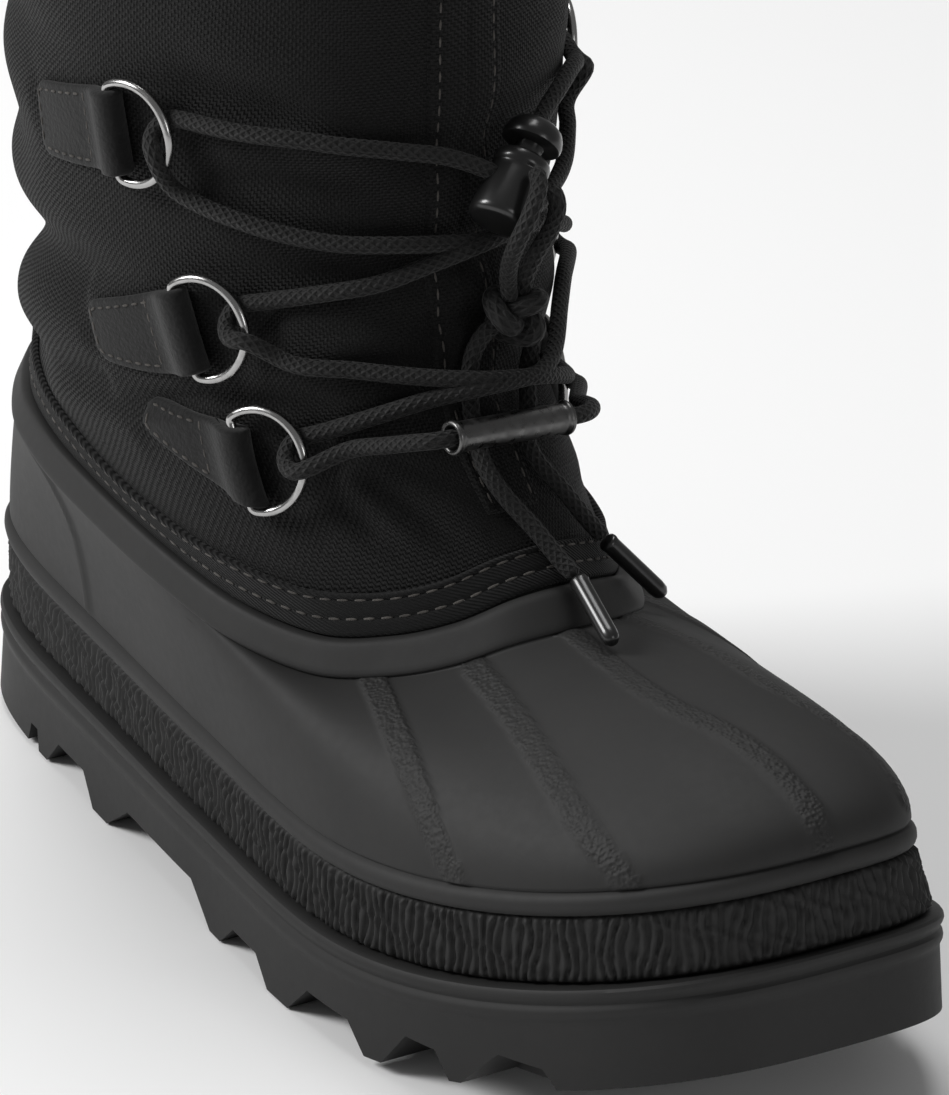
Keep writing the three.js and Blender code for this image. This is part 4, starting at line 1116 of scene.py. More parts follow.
@dataclass
class Cloth:
    """The shaft's cloth surface: the plain face with its folds."""

    reach: float = 62.0
    folds: Sequence[Fold] = (
        Fold(-116, 142, 9, 92, 8, -5.2), Fold(178, 139, 0, 90, 9, -3.4), Fold(-108, 128, 14, 62, 8, 1.8),
        Fold(-150, 127, 6, 50, 8, 1.4), Fold(-80, 122, 14, 48, 5, -2.8), Fold(-48, 131.5, 8, 34, 4.5, -2.0),
        Fold(-130, 113, 10, 46, 5, -1.6), Fold(-47, 199, -14, 30, 5.5, -2.6), Fold(-40, 210, -14, 40, 7, 1.2),
        Fold(-38, 183, 3, 44, 4.5, -1.8), Fold(-22, 186, -20, 36, 6, 1.5), Fold(-20, 163, 2, 66, 6, -2.3),
        Fold(-32, 152, 16, 36, 5, 1.6), Fold(-28, 145.5, 18, 38, 4.5, 1.8), Fold(-4, 151, 2, 34, 5, -1.8),
        Fold(-30, 136.5, 9, 42, 5, 1.3), Fold(-14, 139, -6, 30, 4.5, -1.5),
        Fold(-37, 106, -62, 24, 3.6, -1.4),
        Fold(-30, 110, -58, 26, 4, 1.3), Fold(-22, 106, -50, 24, 3.6, -1.1), Fold(-18, 116, -30, 26, 5, 1.0),
        Fold(24, 166, -4, 60, 7, -2.8), Fold(30, 131, -6, 56, 6, -2.6), Fold(28, 148, -4, 56, 7, 1.5),
        Fold(34, 112, -20, 40, 6, 1.0), Fold(16, 190, 0, 50, 6, -1.6), Fold(22, 205, 6, 60, 10, 1.0),
        Fold(100, 140, -6, 80, 8, -3.6), Fold(112, 126, -8, 60, 8, 1.6), Fold(80, 121, -10, 48, 6, -2.4),
        Fold(140, 118, -4, 60, 7, -1.6), Fold(125, 166, 5, 60, 10, -1.6), Fold(-135, 170, -4, 60, 10, -1.4),
        Fold(-150, 158, 4, 60, 8, 1.4), Fold(-90, 228, 18, 90, 13, -1.3), Fold(-70, 245, -8, 80, 10, 1.0),
        Fold(70, 232, -14, 90, 13, -1.4), Fold(150, 222, 8, 100, 14, -1.5), Fold(-165, 240, -8, 80, 12, -1.2),
        Fold(-122, 205, -16, 70, 10, -1.4), Fold(-112, 186, -10, 60, 9, 1.5), Fold(165, 190, 4, 80, 12, 1.4),
        Fold(-66, 116, 10, 40, 5, 1.2), Fold(-100, 112, 12, 44, 5, 1.2))
    fold_gain: float = 1.2

    def __post_init__(self) -> None:
        """Work out where the fastenings lie."""
        self.rows = [(row, side, fastening_axes(row, side)) for row in FASTENINGS for side in Side]

    def depth(self, turn: Array, point: Array) -> Array:
        """How far the cloth stands out of the plain face.

        Args:
            turn: Turns round the foot.
            point: The plain face's points there.

        Returns:
            Heights in millimetres.
        """
        total = np.zeros(np.shape(turn))
        height = point[..., 2]
        for fold in self.folds:
            away = turn - math.radians(fold.turn)
            swing = np.arctan2(np.sin(away), np.cos(away))
            a, b = swing * self.reach, height - fold.height
            heading = math.radians(fold.heading)
            along = a * math.cos(heading) + b * math.sin(heading)
            across = b * math.cos(heading) - a * math.sin(heading)
            bow = across + 0.0012 * along ** 2
            total += fold.depth * np.exp(-(bow / fold.width) ** 2) * np.exp(-(2 * along / fold.length) ** 4)
        for row, side, axes in self.rows:
            offset = point - axes.centre
            along, across = offset @ axes.pull, offset @ axes.bar
            near = np.abs(offset @ axes.out) < 14
            inside = (smoothstep(-row.length - 9, -row.length - 2, along) * (1 - smoothstep(4, 11, along))
                      * (1 - smoothstep(10, 17, np.abs(across))) * near)
            total *= 1 - inside
            dent = np.exp(-((along - 17.5) / 6) ** 2 - (across / 6.5) ** 2) * near
            total = total * (1 - 0.7 * dent) - 2.7 * dent
        return self.fold_gain * total * smoothstep(100.0, 108.0, height)

    def face(self, turn: Array, share: Number, lift: Number = 0.0) -> Array:
        """Points of the folded cloth, lifted from it."""
        turn, share = np.broadcast_arrays(np.asarray(turn, float), np.asarray(share, float))
        point = FORM.shaft_face(turn, share)
        low, high = np.maximum(share - 0.01, 0), np.minimum(share + 0.01, 1)
        around = FORM.shaft_face(turn + 0.01, share) - FORM.shaft_face(turn - 0.01, share)
        normal = unit(np.cross(around, FORM.shaft_face(turn, high) - FORM.shaft_face(turn, low)))
        return point + normal * (self.depth(turn, point) + lift)[..., None]

    def outward(self, turn: Array, share: Number) -> Array:
        """Directions out of the plain face."""
        turn, share = np.broadcast_arrays(np.asarray(turn, float), np.asarray(share, float))
        around = FORM.shaft_face(turn + 0.01, share) - FORM.shaft_face(turn - 0.01, share)
        low, high = np.maximum(share - 0.01, 0), np.minimum(share + 0.01, 1)
        return unit(np.cross(around, FORM.shaft_face(turn, high) - FORM.shaft_face(turn, low)))


CLOTH = Cloth()


def quilt(name: str, spot: Callable[[Array, Array, Array], Array], across: Array, along: Array,
          lift: Callable[[Array, Array], Array], under: float = -0.3) -> bpy.types.Object:
    """A closed pad laid on a face.

    Args:
        name: Name of the new object.
        spot: Point of the face from an across value, an along value and a lift.
        across: Values across the pad.
        along: Values along the pad, one a row.
        lift: Height of the pad from its across and along values.
        under: Height of the pad's own underside.

    Returns:
        The new object.
    """
    a, b = np.meshgrid(across, along)
    top = lift(a, b)
    top[0] = top[-1] = under
    top[:, 0] = top[:, -1] = under
    outer = spot(a, b, top)
    inner = spot(a[:, ::-1], b, np.full_like(a, under))
    rows = np.concatenate([outer, inner[:, 1:-1]], 1)
    girth = np.linalg.norm(np.diff(outer[len(along) // 2], axis=0), axis=1).sum() * 2
    travel = np.linalg.norm(np.diff(outer[:, len(across) // 2], axis=0), axis=1)
    return wrap(name, rows, girth=girth, heights=np.concatenate([[0], np.cumsum(travel)]))


@dataclass
class Shaft:
    """The cloth shaft: outer cloth, lining, collar, placket and the tape above the rim."""

    around: int = 380
    levels: int = 132
    cloth_depth: float = 1.4
    lining_lift: tuple[float, float] = (-1.6, -3.0)
    shell_lining: tuple[float, float] = (3.3, 4.5)
    tape_side: float = 13.0
    tape_front: float = 9.5
    tape_lift: float = 1.5
    placket: tuple[float, float] = (-7.9, 10.0)
    placket_lift: float = 1.0
    front_radius: float = 57.0
    rim_step: float = 0.06

    def sizes(self, turns: Array) -> tuple[float, float]:
        """Mean girth and height of the cloth, for its weave."""
        ring = FORM.shaft_face(turns, 0.5)
        girth = np.linalg.norm(np.roll(ring, -1, 0) - ring, axis=1).sum()
        side = FORM.shaft_face(np.full(60, -np.pi / 2), np.linspace(0, 1, 60))
        return girth, np.linalg.norm(np.diff(side, axis=0), axis=1).sum()

    def outer(self, finishes: Finishes) -> None:
        """The woven cloth."""
        turns = np.arange(self.around) * 2 * np.pi / self.around
        girth, height = self.sizes(turns)
        shares = np.linspace(0.0, 0.985, self.levels)
        rows = [CLOTH.face(turns, share) for share in shares]
        rows += [CLOTH.face(turns, 0.985, -self.cloth_depth)]
        rows += [CLOTH.face(turns, share, -self.cloth_depth) for share in np.linspace(0.95, 0.0, 40)]
        levels = np.concatenate([shares * height, np.linspace(height, 2 * height, 41)])
        piece = wrap("shaft_cloth", np.stack(rows), girth=girth, heights=levels, rows_closed=True)
        settle(piece, "nylon", finishes.nylon, "shaft")

    def lining(self, finishes: Finishes) -> None:
        """The felt lining, from the collar down to the footbed."""
        turns = np.arange(220) * 2 * np.pi / 220
        shares = np.concatenate([[0.03], np.linspace(0.08, 0.985, 46)])
        climbs = (0.08, 0.2, 0.34, 0.48, 0.62, 0.76, 0.88, 0.96)
        faces = []
        for depth, lift, out in ((*zip(self.shell_lining, self.lining_lift), )[0] + (-5.4,),
                                 (*zip(self.shell_lining, self.lining_lift), )[1] + (-6.4,)):
            rows = [FORM.sole_point(turns, out, z) for z in (30.2, 38.0, 46.0)]
            rows += [FORM.inset(FORM.dome, turns, climb, depth) for climb in climbs]
            rows += [FORM.lip(turns, -depth, up) for up in (0.3, 0.7)]
            rows += [CLOTH.face(turns, share, lift) for share in shares]
            faces.append(np.stack(rows))
        rows = np.concatenate([faces[0], faces[1][::-1]])
        piece = wrap("felt_lining", rows, rows_closed=True)
        settle(piece, "lining", finishes.felt)

    def collar(self, finishes: Finishes) -> None:
        """The bound top edge."""
        turns = np.arange(300) * 2 * np.pi / 300
        section = [(0.925, 0.05), (0.925, 0.7), (0.93, 1.05), (0.945, 1.15), (0.965, 1.1), (0.985, 1.0),
                   (0.996, 0.5), (1.0, -0.4), (1.0, -1.9), (0.997, -3.0), (0.985, -3.6), (0.96, -3.7),
                   (0.935, -3.6), (0.925, -3.1)]
        rows = np.stack([CLOTH.face(turns, share, lift) for share, lift in section])
        heights = np.linspace(0, 26, len(section))
        piece = wrap("collar_tape", rows, girth=390.0, heights=heights, rows_closed=True)
        settle(piece, "nylon", finishes.tape)
        ring = np.append(turns, 0)
        path, out = CLOTH.face(ring, 0.933, 1.15), CLOTH.outward(ring, 0.933)
        thread = joined_copies("collar_stitches", stitch_model(3.2, 0.38), stitch_places(path, out, 4.4))
        settle(thread, "nylon", finishes.dark_thread)

    def tape_share(self, turn: Array, height: Number) -> Array:
        """Share of the shaft that lies a distance above the rim."""
        rise = FORM.shaft_face(turn, self.rim_step) - FORM.shaft_face(turn, 0.0)
        return np.asarray(height) * self.rim_step / np.linalg.norm(rise, axis=-1)

    def tape_height(self, turn: Array) -> Array:
        """Height of the tape: lower at the front."""
        share = smoothstep(0.35, 0.95, np.cos(turn))
        return self.tape_side + (self.tape_front - self.tape_side) * share

    def tape(self, finishes: Finishes) -> None:
        """The twill tape above the rim, its rolled top, and its stitches."""
        turns = np.arange(420) * 2 * np.pi / 420
        tall = self.tape_height(turns)
        section = [(0.01, 0.1), (0.01, 1.0), (0.04, self.tape_lift), (0.12, self.tape_lift + 0.1),
                   (0.25, self.tape_lift), (0.38, self.tape_lift), (0.42, self.tape_lift - 0.35),
                   (0.46, self.tape_lift), (0.6, self.tape_lift), (0.76, self.tape_lift),
                   (0.83, self.tape_lift), (0.86, self.tape_lift - 0.35), (0.89, self.tape_lift + 0.1),
                   (0.95, self.tape_lift + 0.35), (1.0, self.tape_lift), (1.02, 0.8), (1.01, 0.1)]
        shares = [self.tape_share(turns, tall * up) for up, _ in section]
        rows = np.stack([CLOTH.face(turns, share, lift) for share, (_, lift) in zip(shares, section)])
        piece = wrap("rim_tape", rows, girth=400.0, heights=np.array([12.5 * up for up, _ in section]),
                     rows_closed=True)
        settle(piece, "nylon", finishes.tape)
        ring = np.append(turns, 0)
        tall = self.tape_height(ring)
        for label, up in (("upper", 0.86), ("lower", 0.42)):
            share = self.tape_share(ring, tall * up)
            path, out = CLOTH.face(ring, share, self.tape_lift - 0.1), CLOTH.outward(ring, share)
            places = stitch_places(path, out, 4.3)
            thread = joined_copies(f"tape_stitches_{label}", stitch_model(3.2, 0.36), places)
            settle(thread, "nylon", finishes.dark_thread)

    def front(self, finishes: Finishes) -> None:
        """The raised placket down the front and its two seams."""
        low, high = self.placket
        across = np.concatenate([[low - 0.2], np.linspace(low, high, 26), [high + 0.2]])
        along = np.linspace(0.09, 0.925, 110)

        def spot(a: Array, b: Array, lift: Array) -> Array:
            """Point over the front, from a distance to the inner side and a share."""
            return CLOTH.face(np.arcsin(np.clip(a / self.front_radius, -1, 1)), b, lift)

        def lift(a: Array, b: Array) -> Array:
            """Height of the placket with its two sunk seams."""
            edge = np.minimum(a - low, high - a)
            seam = np.exp(-((edge - 2.4) / 0.5) ** 2)
            middle = np.exp(-((a - (low + high) / 2) / 0.6) ** 2)
            raised = self.placket_lift * smoothstep(-0.3, 1.0, edge) + 0.25 * smoothstep(0, 3, edge)
            return raised - 0.35 * seam - 0.3 * middle

        piece = quilt("front_placket", spot, across, along, lift)
        settle(piece, "nylon", finishes.nylon)
        for label, a in (("outer", low + 2.4), ("inner", high - 2.4)):
            shares = np.linspace(0.1, 0.915, 160)
            path = spot(np.full(160, a), shares, np.full(160, self.placket_lift))
            out = CLOTH.outward(np.full(160, math.asin(a / self.front_radius)), shares)
            thread = joined_copies(f"placket_stitches_{label}", stitch_model(2.8, 0.3),
                                   stitch_places(path, out, 4.0))
            settle(thread, "nylon", finishes.dark_thread)

    def build(self, finishes: Finishes) -> None:
        """Make every part of the shaft."""
        self.outer(finishes)
        self.lining(finishes)
        self.collar(finishes)
        self.tape(finishes)
        self.front(finishes)


# ------------------------------------------------------------------ tabs and rings
@dataclass
class Tabs:
    """Suede tabs that hold the rings, with pale stitches."""

    thickness: float = 1.7
    inset: float = 1.9
    sleeve: Sequence[tuple[float, float]] = (
        (-11.5, 1.75), (-9.5, 2.1), (-7.5, 2.9), (-5.5, 4.3), (-3.6, 5.8), (-1.8, 6.7), (-0.2, 7.0),
        (1.2, 6.75), (2.4, 5.9), (3.1, 4.6), (3.2, 3.3), (2.8, 2.0), (1.9, 1.0), (0.6, 0.4))

    @staticmethod
    def spot(axes: Axes, side: Side, along: Array, across: Array, lift: Array) -> Array:
        """Point over the shaft from local distances along the pull and along the bar."""
        tilt = math.atan2(axes.pull @ axes.climb / np.linalg.norm(axes.climb), 1.0)
        forward = along * math.cos(tilt) - across * math.sin(tilt)
        up = along * math.sin(tilt) + across * math.cos(tilt)
        turn = axes.turn - side.value * forward / np.linalg.norm(axes.round)
        share = axes.share + up / np.linalg.norm(axes.climb)
        return CLOTH.face(turn, share, lift)

    def edges(self, row: Fastening, along: Array) -> tuple[Array, Array]:
        """Lower and upper edge of a tab at a distance along it."""
        share = np.clip((-2.1 - along) / row.length, 0, 1)
        near = TAB_NEAR / 2
        upper = near + (row.far_rise + row.far_height / 2 - near) * share
        lower = -near + (row.far_rise - row.far_height / 2 + near) * share ** 1.6
        corner = 2.6 * smoothstep(0.86, 1.0, share) ** 2
        return lower + corner, upper - corner

    def build_tab(self, row: Fastening, side: Side, axes: Axes, finishes: Finishes) -> None:
        """Make one tab and its stitches."""
        far = -2.1 - row.length
        flat = np.linspace(far, -13.0, 22)
        top = [(far - 0.15, 0.1), (far, 0.9)] + [(a, self.thickness) for a in flat[1:]] + list(self.sleeve)
        back = [(a, 0.15) for a in np.linspace(-1.5, far + 0.5, 16)]
        loop = np.array(top + back)
        middle = loop.copy()
        sleeve = loop[:, 0] > -6
        middle[:, 1] = np.where(sleeve, 3.4, 0.6)
        middle[:, 0] = np.where(sleeve, np.clip(loop[:, 0], -4.0, 0.6), loop[:, 0])
        ends = [0.0, 0.0, 0.012, 0.035], [0.965, 0.988, 1.0, 1.0]
        shares = np.concatenate([ends[0], np.linspace(0.07, 0.93, 24), ends[1]])
        full = np.concatenate([[0.0, 0.55, 0.85, 1.0], np.ones(24), [1.0, 0.85, 0.55, 0.0]])
        rows = []
        for share, swell in zip(shares, full):
            here = middle + (loop - middle) * swell
            lower, upper = self.edges(row, here[:, 0])
            rows.append(self.spot(axes, side, here[:, 0], lower + (upper - lower) * share, here[:, 1]))
        name = f"tab_{row.name}_{side.name.lower()}"
        piece = wrap(f"suede_{name}", np.stack(rows), girth=80.0, heights=shares * 20)
        settle(piece, "suede", finishes.suede, name)
        self.stitch(row, side, axes, f"{name}_stitches", finishes)

    def stitch(self, row: Fastening, side: Side, axes: Axes, name: str, finishes: Finishes) -> None:
        """Stitch a line inside the tab's edge, and one behind the sleeve."""
        far = -2.1 - row.length + self.inset
        near = -11.2
        runs = np.linspace(far, near, 24)
        lower, upper = self.edges(row, runs)
        lines = [(runs, upper - self.inset), (runs[::-1], lower[::-1] + self.inset)]
        for place in (far, near):
            low, high = self.edges(row, np.array([place]))
            span = np.linspace(low[0] + self.inset, high[0] - self.inset, 16)
            lines.append((np.full(16, place), span))
        places = []
        for along, across in lines:
            lifts = np.full(len(along), self.thickness + 0.05)
            path = self.spot(axes, side, along, across, lifts)
            out = path - self.spot(axes, side, along, across, lifts - 1.0)
            places += stitch_places(path, out, 3.3)
        thread = joined_copies(name, stitch_model(2.5, 0.34), places)
        settle(thread, "suede", finishes.thread)

    def build(self, finishes: Finishes) -> None:
        """Make every tab."""
        for row, side, axes in CLOTH.rows:
            self.build_tab(row, side, axes, finishes)


def ring_point(axes: Axes, angle: Array) -> Array:
    """Point of a ring's bow; angle 0 is its far point."""
    along = RING_MIDDLE + RING_RADIUS * np.cos(angle)
    across = RING_RADIUS * np.sin(angle)
    return axes.origin + np.multiply.outer(along, axes.reach) + np.multiply.outer(across, axes.bar)


def build_rings(finishes: Finishes) -> None:
    """Make the D rings."""
    open_angle = math.acos(-RING_MIDDLE / RING_RADIUS)
    for row, side, axes in CLOTH.rows:
        bow = ring_point(axes, np.linspace(-open_angle, open_angle, 90))
        bar = bow[-1] + np.linspace(0, 1, 44)[1:-1, None] * (bow[0] - bow[-1])
        path = np.concatenate([bow, bar])
        for _ in range(6):
            path = (np.roll(path, 1, 0) + path * 2 + np.roll(path, -1, 0)) / 4
        name = f"ring_{row.name}_{side.name.lower()}"
        piece = wrap(f"steel_{name}", tube_rows(path, RING_WIRE, 20, True), rows_closed=True)
        settle(piece, "steel", finishes.steel, name)


# ------------------------------------------------------------------ lace
TOP_OUTER = [(-4.7, -43.7, 194.1), (6.3, -33.6, 193.7), (17.7, -14.1, 190.9), (21.4, -6, 189.6),
             (24.6, 0.6, 187.2), (27, 5.5, 184.6)]
TOP_INNER = [(25.4, 13, 186.8), (19.5, 20, 188.4), (12.6, 26, 190.4), (6.5, 34.5, 193.6), (-3.5, 44.6, 194.2),
             (-12.5, 51.2, 191.8)]
UPPER_FALL = [(-18, -51.3, 177.4), (-2.3, -41.4, 172.5), (10.8, -28.6, 169.9), (18.5, -15.7, 169.4),
              (21.5, -2.5, 168.3), (21.8, 7, 167.4), (17.9, 16.8, 167.5), (10.4, 30, 163.5),
              (-0.5, 40.9, 157.5)]
UPPER_RISE = [(11.7, -29.1, 158.5), (17.6, -19.7, 160.7), (21.1, -8.8, 164.2), (23.2, 0.5, 166.9),
              (22.6, 9.5, 168.6), (19, 20, 171.6), (3.4, 37.6, 172.8), (-14, 50.4, 176), (-20.6, 54.2, 179)]
LOWER_FALL = [(7.1, -36.7, 141.9), (17.1, -27.2, 141.5), (27, -14.8, 140.6), (33.4, -2.9, 139.7),
              (33.8, 6, 138.4), (32.2, 14, 136.8), (25, 24.2, 132.4), (15.5, 31.6, 127.8)]
LOWER_RISE = [(24.7, -21.4, 132.8), (29.2, -13.4, 135.7), (34.2, -3, 138.1), (34, 6, 138), (32, 14, 137.7),
              (26, 21.4, 139.3), (12.7, 31.4, 143.6), (1.5, 39.6, 145.2)]
BOTTOM_OUTER = [(22, -30.4, 124.6), (30.5, -25.6, 127.6), (37.2, -22, 129.9), (40.7, -18.6, 130.8)]
BOTTOM_INNER = [(37.2, 21, 127.5), (34.6, 25.6, 126.6), (29.6, 29.4, 125.2), (23.6, 31.4, 123.4),
                (16, 34.4, 120.8)]
LACE_TUBE = ((40.3, -15, 130.5), (37.5, 17.4, 127.8))
LOCK_FOOT, LOCK_HEAD = (31.2, 2.4, 175.2), (21.9, 19.3, 192.6)


@dataclass
class Lace:
    """The round lace: its run through the rings, and its drops, knot and ends."""

    radius: float = 2.0
    knot_middle: tuple[float, float, float] = (28.9, 9, 151.6)
    drop_outer: Sequence[tuple[float, float, float]] = (
        (34, 10.4, 187.6), (38, 9, 184.7), (40.4, 5.2, 179.5), (38.9, 3.2, 173.5), (34.4, 4, 167),
        (30.6, 5.9, 160.6), (29.6, 7.3, 155))
    drop_inner: Sequence[tuple[float, float, float]] = (
        (32.5, 15.6, 182.2), (35, 15.9, 178.4), (33.9, 15.4, 173), (31.4, 13.4, 167), (29.4, 11.4, 160.6),
        (29.1, 10.1, 154))
    end_outer: Sequence[tuple[float, float, float]] = (
        (28.4, 6.4, 150.6), (27.2, 3.2, 148.6), (26.9, 0.4, 145.6), (27.5, -1.8, 141.4), (30.3, -3.6, 133.8),
        (33.5, -4.5, 127.9), (37.9, -4.6, 121),
        (43.9, -2.7, 115), (49.5, 1.5, 108.4), (54.9, 4.8, 102.2), (59.4, 6.6, 99))
    end_inner: Sequence[tuple[float, float, float]] = (
        (28, 11.4, 150), (26.4, 14.4, 147.4), (25.9, 15.6, 143), (26.9, 13.6, 136), (30.6, 11.6, 129.4),
        (34.6, 8.8, 123.6), (38.2, 9.4, 118.9),
        (42.6, 13.3, 113), (45.8, 17.5, 106.4), (47.6, 21.6, 101))
    aglets: Sequence[tuple[str, tuple[float, float, float], tuple[float, float, float]]] = (
        ("outer", (60, 6.5, 98.6), (79, 3.5, 91.2)), ("inner", (47.8, 22, 100.4), (51.6, 35.2, 85.6)))

    @staticmethod
    def bend(name: str, side: Side, upper_first: bool) -> list[Array]:
        """Points where the lace turns through a ring."""
        axes = next(found for row, where, found in CLOTH.rows if row.name == name and where is side)
        far = ring_point(axes, np.array(0.0))
        steps = [(3.2, 1.5, -3.3), (3.4, -2.6, -2.6), (0.2, -4.8, 0.4), (-3.2, -2.6, 3.0), (-3.6, 1.5, 3.2)]
        points = [far + axes.bar * b + axes.pull * p + axes.out * o for b, p, o in steps]
        if name == "top" and side is Side.OUTER:
            points.pop()
        return points if upper_first else points[::-1]

    def run(self) -> Array:
        """The lace's way from the lock through all rings and back."""
        way = list(reversed(TOP_OUTER))
        way += self.bend("top", Side.OUTER, True) + UPPER_FALL
        way += self.bend("middle", Side.INNER, True) + list(reversed(LOWER_RISE))
        way += self.bend("bottom", Side.OUTER, True) + BOTTOM_OUTER + list(LACE_TUBE) + BOTTOM_INNER
        way += self.bend("bottom", Side.INNER, False) + list(reversed(LOWER_FALL))
        way += self.bend("middle", Side.OUTER, False) + UPPER_RISE
        way += self.bend("top", Side.INNER, False) + list(reversed(TOP_INNER))
        path = smooth_path([tuple(float(v) for v in spot) for spot in way], 1.3)
        for _ in range(3):
            path = self.off_cloth(path)
            path[1:-1] = (path[:-2] + path[1:-1] * 2 + path[2:]) / 4
        return self.off_cloth(path)

    def off_cloth(self, path: Array) -> Array:
        """Push a path out until the lace only rests on the cloth and its placket."""
        turns, shares = np.meshgrid(np.radians(np.linspace(-85, 85, 260)), np.linspace(0.02, 0.8, 150))
        side = FORM.shaft_face(turns, shares)[..., 1]
        raised = np.where((side > -8.5) & (side < 10.6), 1.3, 0.0)
        spots = CLOTH.face(turns, shares, raised).reshape(-1, 3)
        normals = CLOTH.outward(turns, shares).reshape(-1, 3)
        moved = path.copy()
        for k, spot in enumerate(path):
            near = np.argmin(((spots - spot) ** 2).sum(1))
            height = (spot - spots[near]) @ normals[near]
            if height < self.radius:
                moved[k] += normals[near] * (self.radius - height)
        return moved

    def cord(self, label: str, points: Sequence[tuple[float, float, float]]
             ) -> tuple[bpy.types.Object, Array]:
        """Make one free length of the lace."""
        path = smooth_path(points, 1.2)
        return tube(f"lace_{label}", path, self.radius, 18), path

    def knot(self, finishes: Finishes) -> bpy.types.Object:
        """The overhand knot that joins the two drops."""
        t = np.linspace(0, 2 * np.pi, 90, endpoint=False)
        shape = np.stack([-np.sin(3 * t) * 1.2, np.sin(t) + 2 * np.sin(2 * t),
                          np.cos(t) - 2 * np.cos(2 * t)], 1)
        scale = (np.array([6.6, 8.2, 7.6]) - self.radius - 0.45) / np.abs(shape).max(0)
        rows = tube_rows(np.array(self.knot_middle) + shape * scale, self.radius + 0.45, 16, True)
        piece = wrap("lace_knot_loops", rows, girth=1000.0, heights=np.arange(90) * 0.55, rows_closed=True)
        return settle(piece, "braid", finishes.braid, "lace_knot")

    def build(self, finishes: Finishes) -> None:
        """Make the cords first, then the knot, aglets and run."""
        made = {label: self.cord(label, points) for label, points in (
            ("drop_outer", self.drop_outer), ("drop_inner", self.drop_inner),
            ("free_outer", self.end_outer), ("free_inner", self.end_inner))}
        knot = self.knot(finishes)
        for label in ("drop_outer", "drop_inner"):
            piece, path = made[label]
            settle(piece, "braid", finishes.braid)
        for label, start, tip in self.aglets:
            piece, path = made[f"free_{label}"]
            settle(piece, "braid", finishes.braid, f"lace_end_{label}")
            length = math.dist(start, tip)
            profile = [(0, -0.2), (1.6, -0.2), (2.15, 0.1), (2.3, 0.7), (2.15, 1.6), (2.12, length - 3),
                       (1.9, length - 1.2), (1.2, length - 0.2), (0, length)]
            cap = turned(f"aglet_cap_{label}", profile, start, tip, 32)
            settle(cap, "lock_plastic", finishes.plastic, f"aglet_{label}")
        run = tube("lace_run", self.run(), self.radius, 18)
        settle(run, "braid", finishes.braid, "lace_top_outer", "lace_top_inner", "lace_upper_crossing",
               "lace_lower_crossing", "lace_through_tube")


@dataclass
class Hardware:
    """The turned metal tube and the cord lock."""

    tube_profile: Sequence[tuple[float, float]] = (
        (2.75, 0.3), (3.0, -0.1), (3.5, -0.25), (3.95, 0.1), (4.05, 0.7), (3.85, 1.25), (3.55, 1.5),
        (3.5, 2.2))
    barrel: Sequence[tuple[float, float]] = (
        (0, 0), (5.6, 0), (6.5, 0.2), (7.1, 0.9), (7.15, 2), (6.95, 5), (6.6, 8.5), (6.15, 12), (5.95, 13.2),
        (6.05, 13.6), (6.45, 14.0), (6.55, 14.8), (6.5, 15.8), (6.2, 16.6), (5.6, 17), (3.7, 17), (3.6, 16.8),
        (3.6, 12), (3.6, 5), (0, 5))
    button: Sequence[tuple[float, float]] = (
        (0, 8.6), (3.1, 8.6), (3.2, 8.8), (3.2, 20.1), (3.5, 20.3), (6.2, 20.3), (6.8, 20.6), (7.0, 21.3),
        (6.95, 22.0), (6.6, 23.4), (5.9, 24.7), (4.7, 25.7), (3.2, 26.3), (1.6, 26.55), (0, 26.6))

    def build(self, finishes: Finishes) -> None:
        """Make the tube, the barrel and the button."""
        start, end = LACE_TUBE
        length = math.dist(start, end)
        outside = list(self.tube_profile) + [(3.5, length / 2)]
        outside += [(radius, length - height) for radius, height in reversed(self.tube_profile)]
        inside = [(2.7, length - 2), (2.7, length / 2), (2.7, 2)]
        piece = turned("gunmetal_tube", outside + inside, start, end, 56)
        settle(piece, "gunmetal", finishes.gunmetal, "lace_tube")
        barrel = turned("lock_barrel_body", self.barrel, LOCK_FOOT, LOCK_HEAD, 72)
        settle(barrel, "lock_plastic", finishes.plastic, "lock_barrel")
        button = turned("lock_button_cap", self.button, LOCK_FOOT, LOCK_HEAD, 72)
        self.slot(button)
        settle(button, "lock_plastic", finishes.plastic, "lock_button", body="button")

    @staticmethod
    def slot(button: bpy.types.Object) -> None:
        """Cut the slot across the button's top."""
        foot, head = np.array(LOCK_FOOT), np.array(LOCK_HEAD)
        axis = unit(head - foot)
        side = unit(np.cross(axis, [0.0, 0.0, 1.0]))
        over = np.cross(axis, side)
        alone()
        bpy.ops.mesh.primitive_cube_add(size=1, location=(0, 0, 0))
        tool = bpy.context.object
        turn = Matrix(np.stack([side, over, axis], 1).tolist()).to_4x4()
        size = Matrix.Diagonal((0.010, 0.0016, 0.003, 1))
        middle = (foot + axis * 26.9) * MM
        tool.data.transform(Matrix.Translation(middle.tolist()) @ turn @ size)
        only(button)
        step = button.modifiers.new("slot", "BOOLEAN")
        step.operation, step.solver, step.object = "DIFFERENCE", "EXACT", tool
        bpy.ops.object.modifier_apply(modifier=step.name)
        bpy.data.objects.remove(tool)
        only(button)
        bpy.ops.object.shade_smooth_by_angle(angle=math.radians(35))


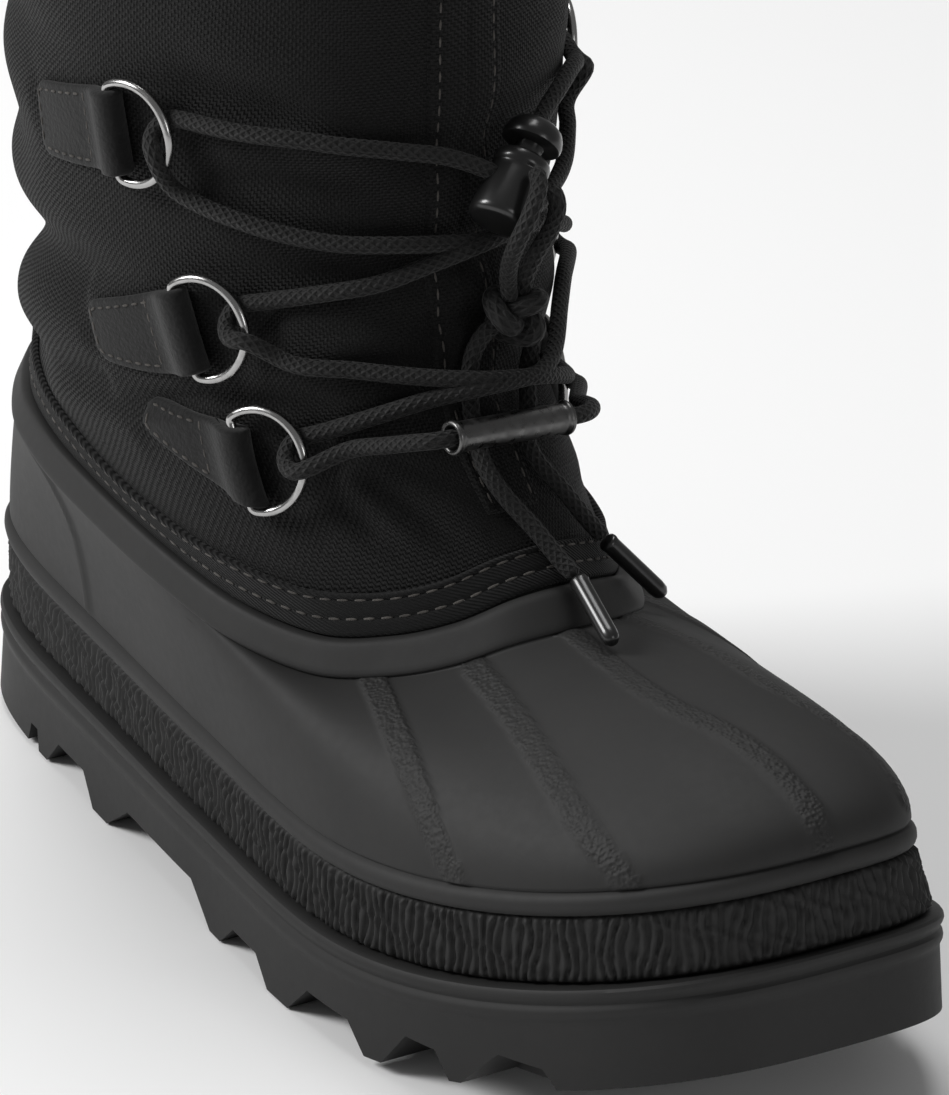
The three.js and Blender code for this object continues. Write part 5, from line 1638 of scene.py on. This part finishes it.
# ------------------------------------------------------------------ studio
@dataclass
class Studio:
    """Pale floor, soft light and the camera."""

    azimuth: float = 57.5
    elevation: float = 23.0
    roll: float = 0.51
    distance: float = 1700.2
    pan: tuple[float, float] = (14.48, 5.75)
    pivot: tuple[float, float, float] = (0.0, 0.0, 80.0)
    lens: float = 243.1

    def camera(self) -> None:
        """Place the camera."""
        azimuth, elevation, roll = (math.radians(v) for v in (self.azimuth, self.elevation, self.roll))
        back = np.array([math.sin(azimuth) * math.cos(elevation), -math.cos(azimuth) * math.cos(elevation),
                         math.sin(elevation)])
        level = np.array([math.cos(azimuth), math.sin(azimuth), 0.0])
        above = np.cross(back, level)
        right = math.cos(roll) * level + math.sin(roll) * above
        up = math.cos(roll) * above - math.sin(roll) * level
        place = (np.array(self.pivot) + right * self.pan[0] + up * self.pan[1] + back * self.distance) * MM
        alone()
        bpy.ops.object.camera_add(location=(0, 0, 0))
        camera = bpy.context.object
        camera.name = "camera"
        camera.data.lens = self.lens
        camera.data.sensor_width = 36
        camera.data.clip_end = 20
        turn = Matrix(np.stack([right, up, back], 1).tolist()).to_4x4()
        camera.matrix_world = Matrix.Translation(place.tolist()) @ turn
        bpy.context.scene.camera = camera

    @staticmethod
    def lamp(name: str, place: Sequence[float], size: float, power: float) -> None:
        """A soft square lamp that looks at the boot."""
        alone()
        bpy.ops.object.light_add(type="AREA", location=place)
        lamp = bpy.context.object
        lamp.name = name
        lamp.data.size = size
        lamp.data.energy = power
        forward = unit(np.array([0.0, 0.0, 0.12]) - np.array(place))
        side = unit(np.cross(forward, [0.0, 0.0, 1.0]))
        aim = Matrix(np.stack([side, np.cross(side, forward), -forward], 1).tolist())
        lamp.matrix_world = Matrix.Translation(place) @ aim.to_4x4()

    def build(self) -> None:
        """Make the floor, the world and the lamps."""
        floor_paint = Shader("floor", (0.9, 0.9, 0.9), 0.9, Specular_IOR_Level=0.1)
        alone()
        bpy.ops.mesh.primitive_plane_add(size=14, location=(0, 0, -0.0005))
        floor = bpy.context.object
        floor.name = "floor"
        floor.data.materials.append(floor_paint.material)
        world = bpy.data.worlds.new("studio")
        world.use_nodes = True
        ground = next(n for n in world.node_tree.nodes if n.type == "BACKGROUND")
        ground.inputs["Color"].default_value = (1, 1, 1, 1)
        ground.inputs["Strength"].default_value = 0.2
        bpy.context.scene.world = world
        bpy.context.scene.view_settings.view_transform = "Standard"
        self.lamp("key", (-1.0, -1.7, 1.5), 0.9, 48.0)
        self.lamp("fill", (1.9, 0.2, 0.7), 0.7, 4.0)
        self.lamp("top", (-0.5, 0.3, 2.0), 1.0, 19.0)


def main() -> None:
    """Build the boot, class by class."""
    logging.basicConfig(level=logging.INFO, format="%(message)s")
    studio = Studio()
    studio.camera()
    finishes = Finishes.build()
    Lace().build(finishes)
    studio.build()
    Sole().build(finishes)
    Foxing().build(finishes)
    Shell().build(finishes)
    Shaft().build(finishes)
    Tabs().build(finishes)
    build_rings(finishes)
    Hardware().build(finishes)


if __name__ == "__main__":
    main()
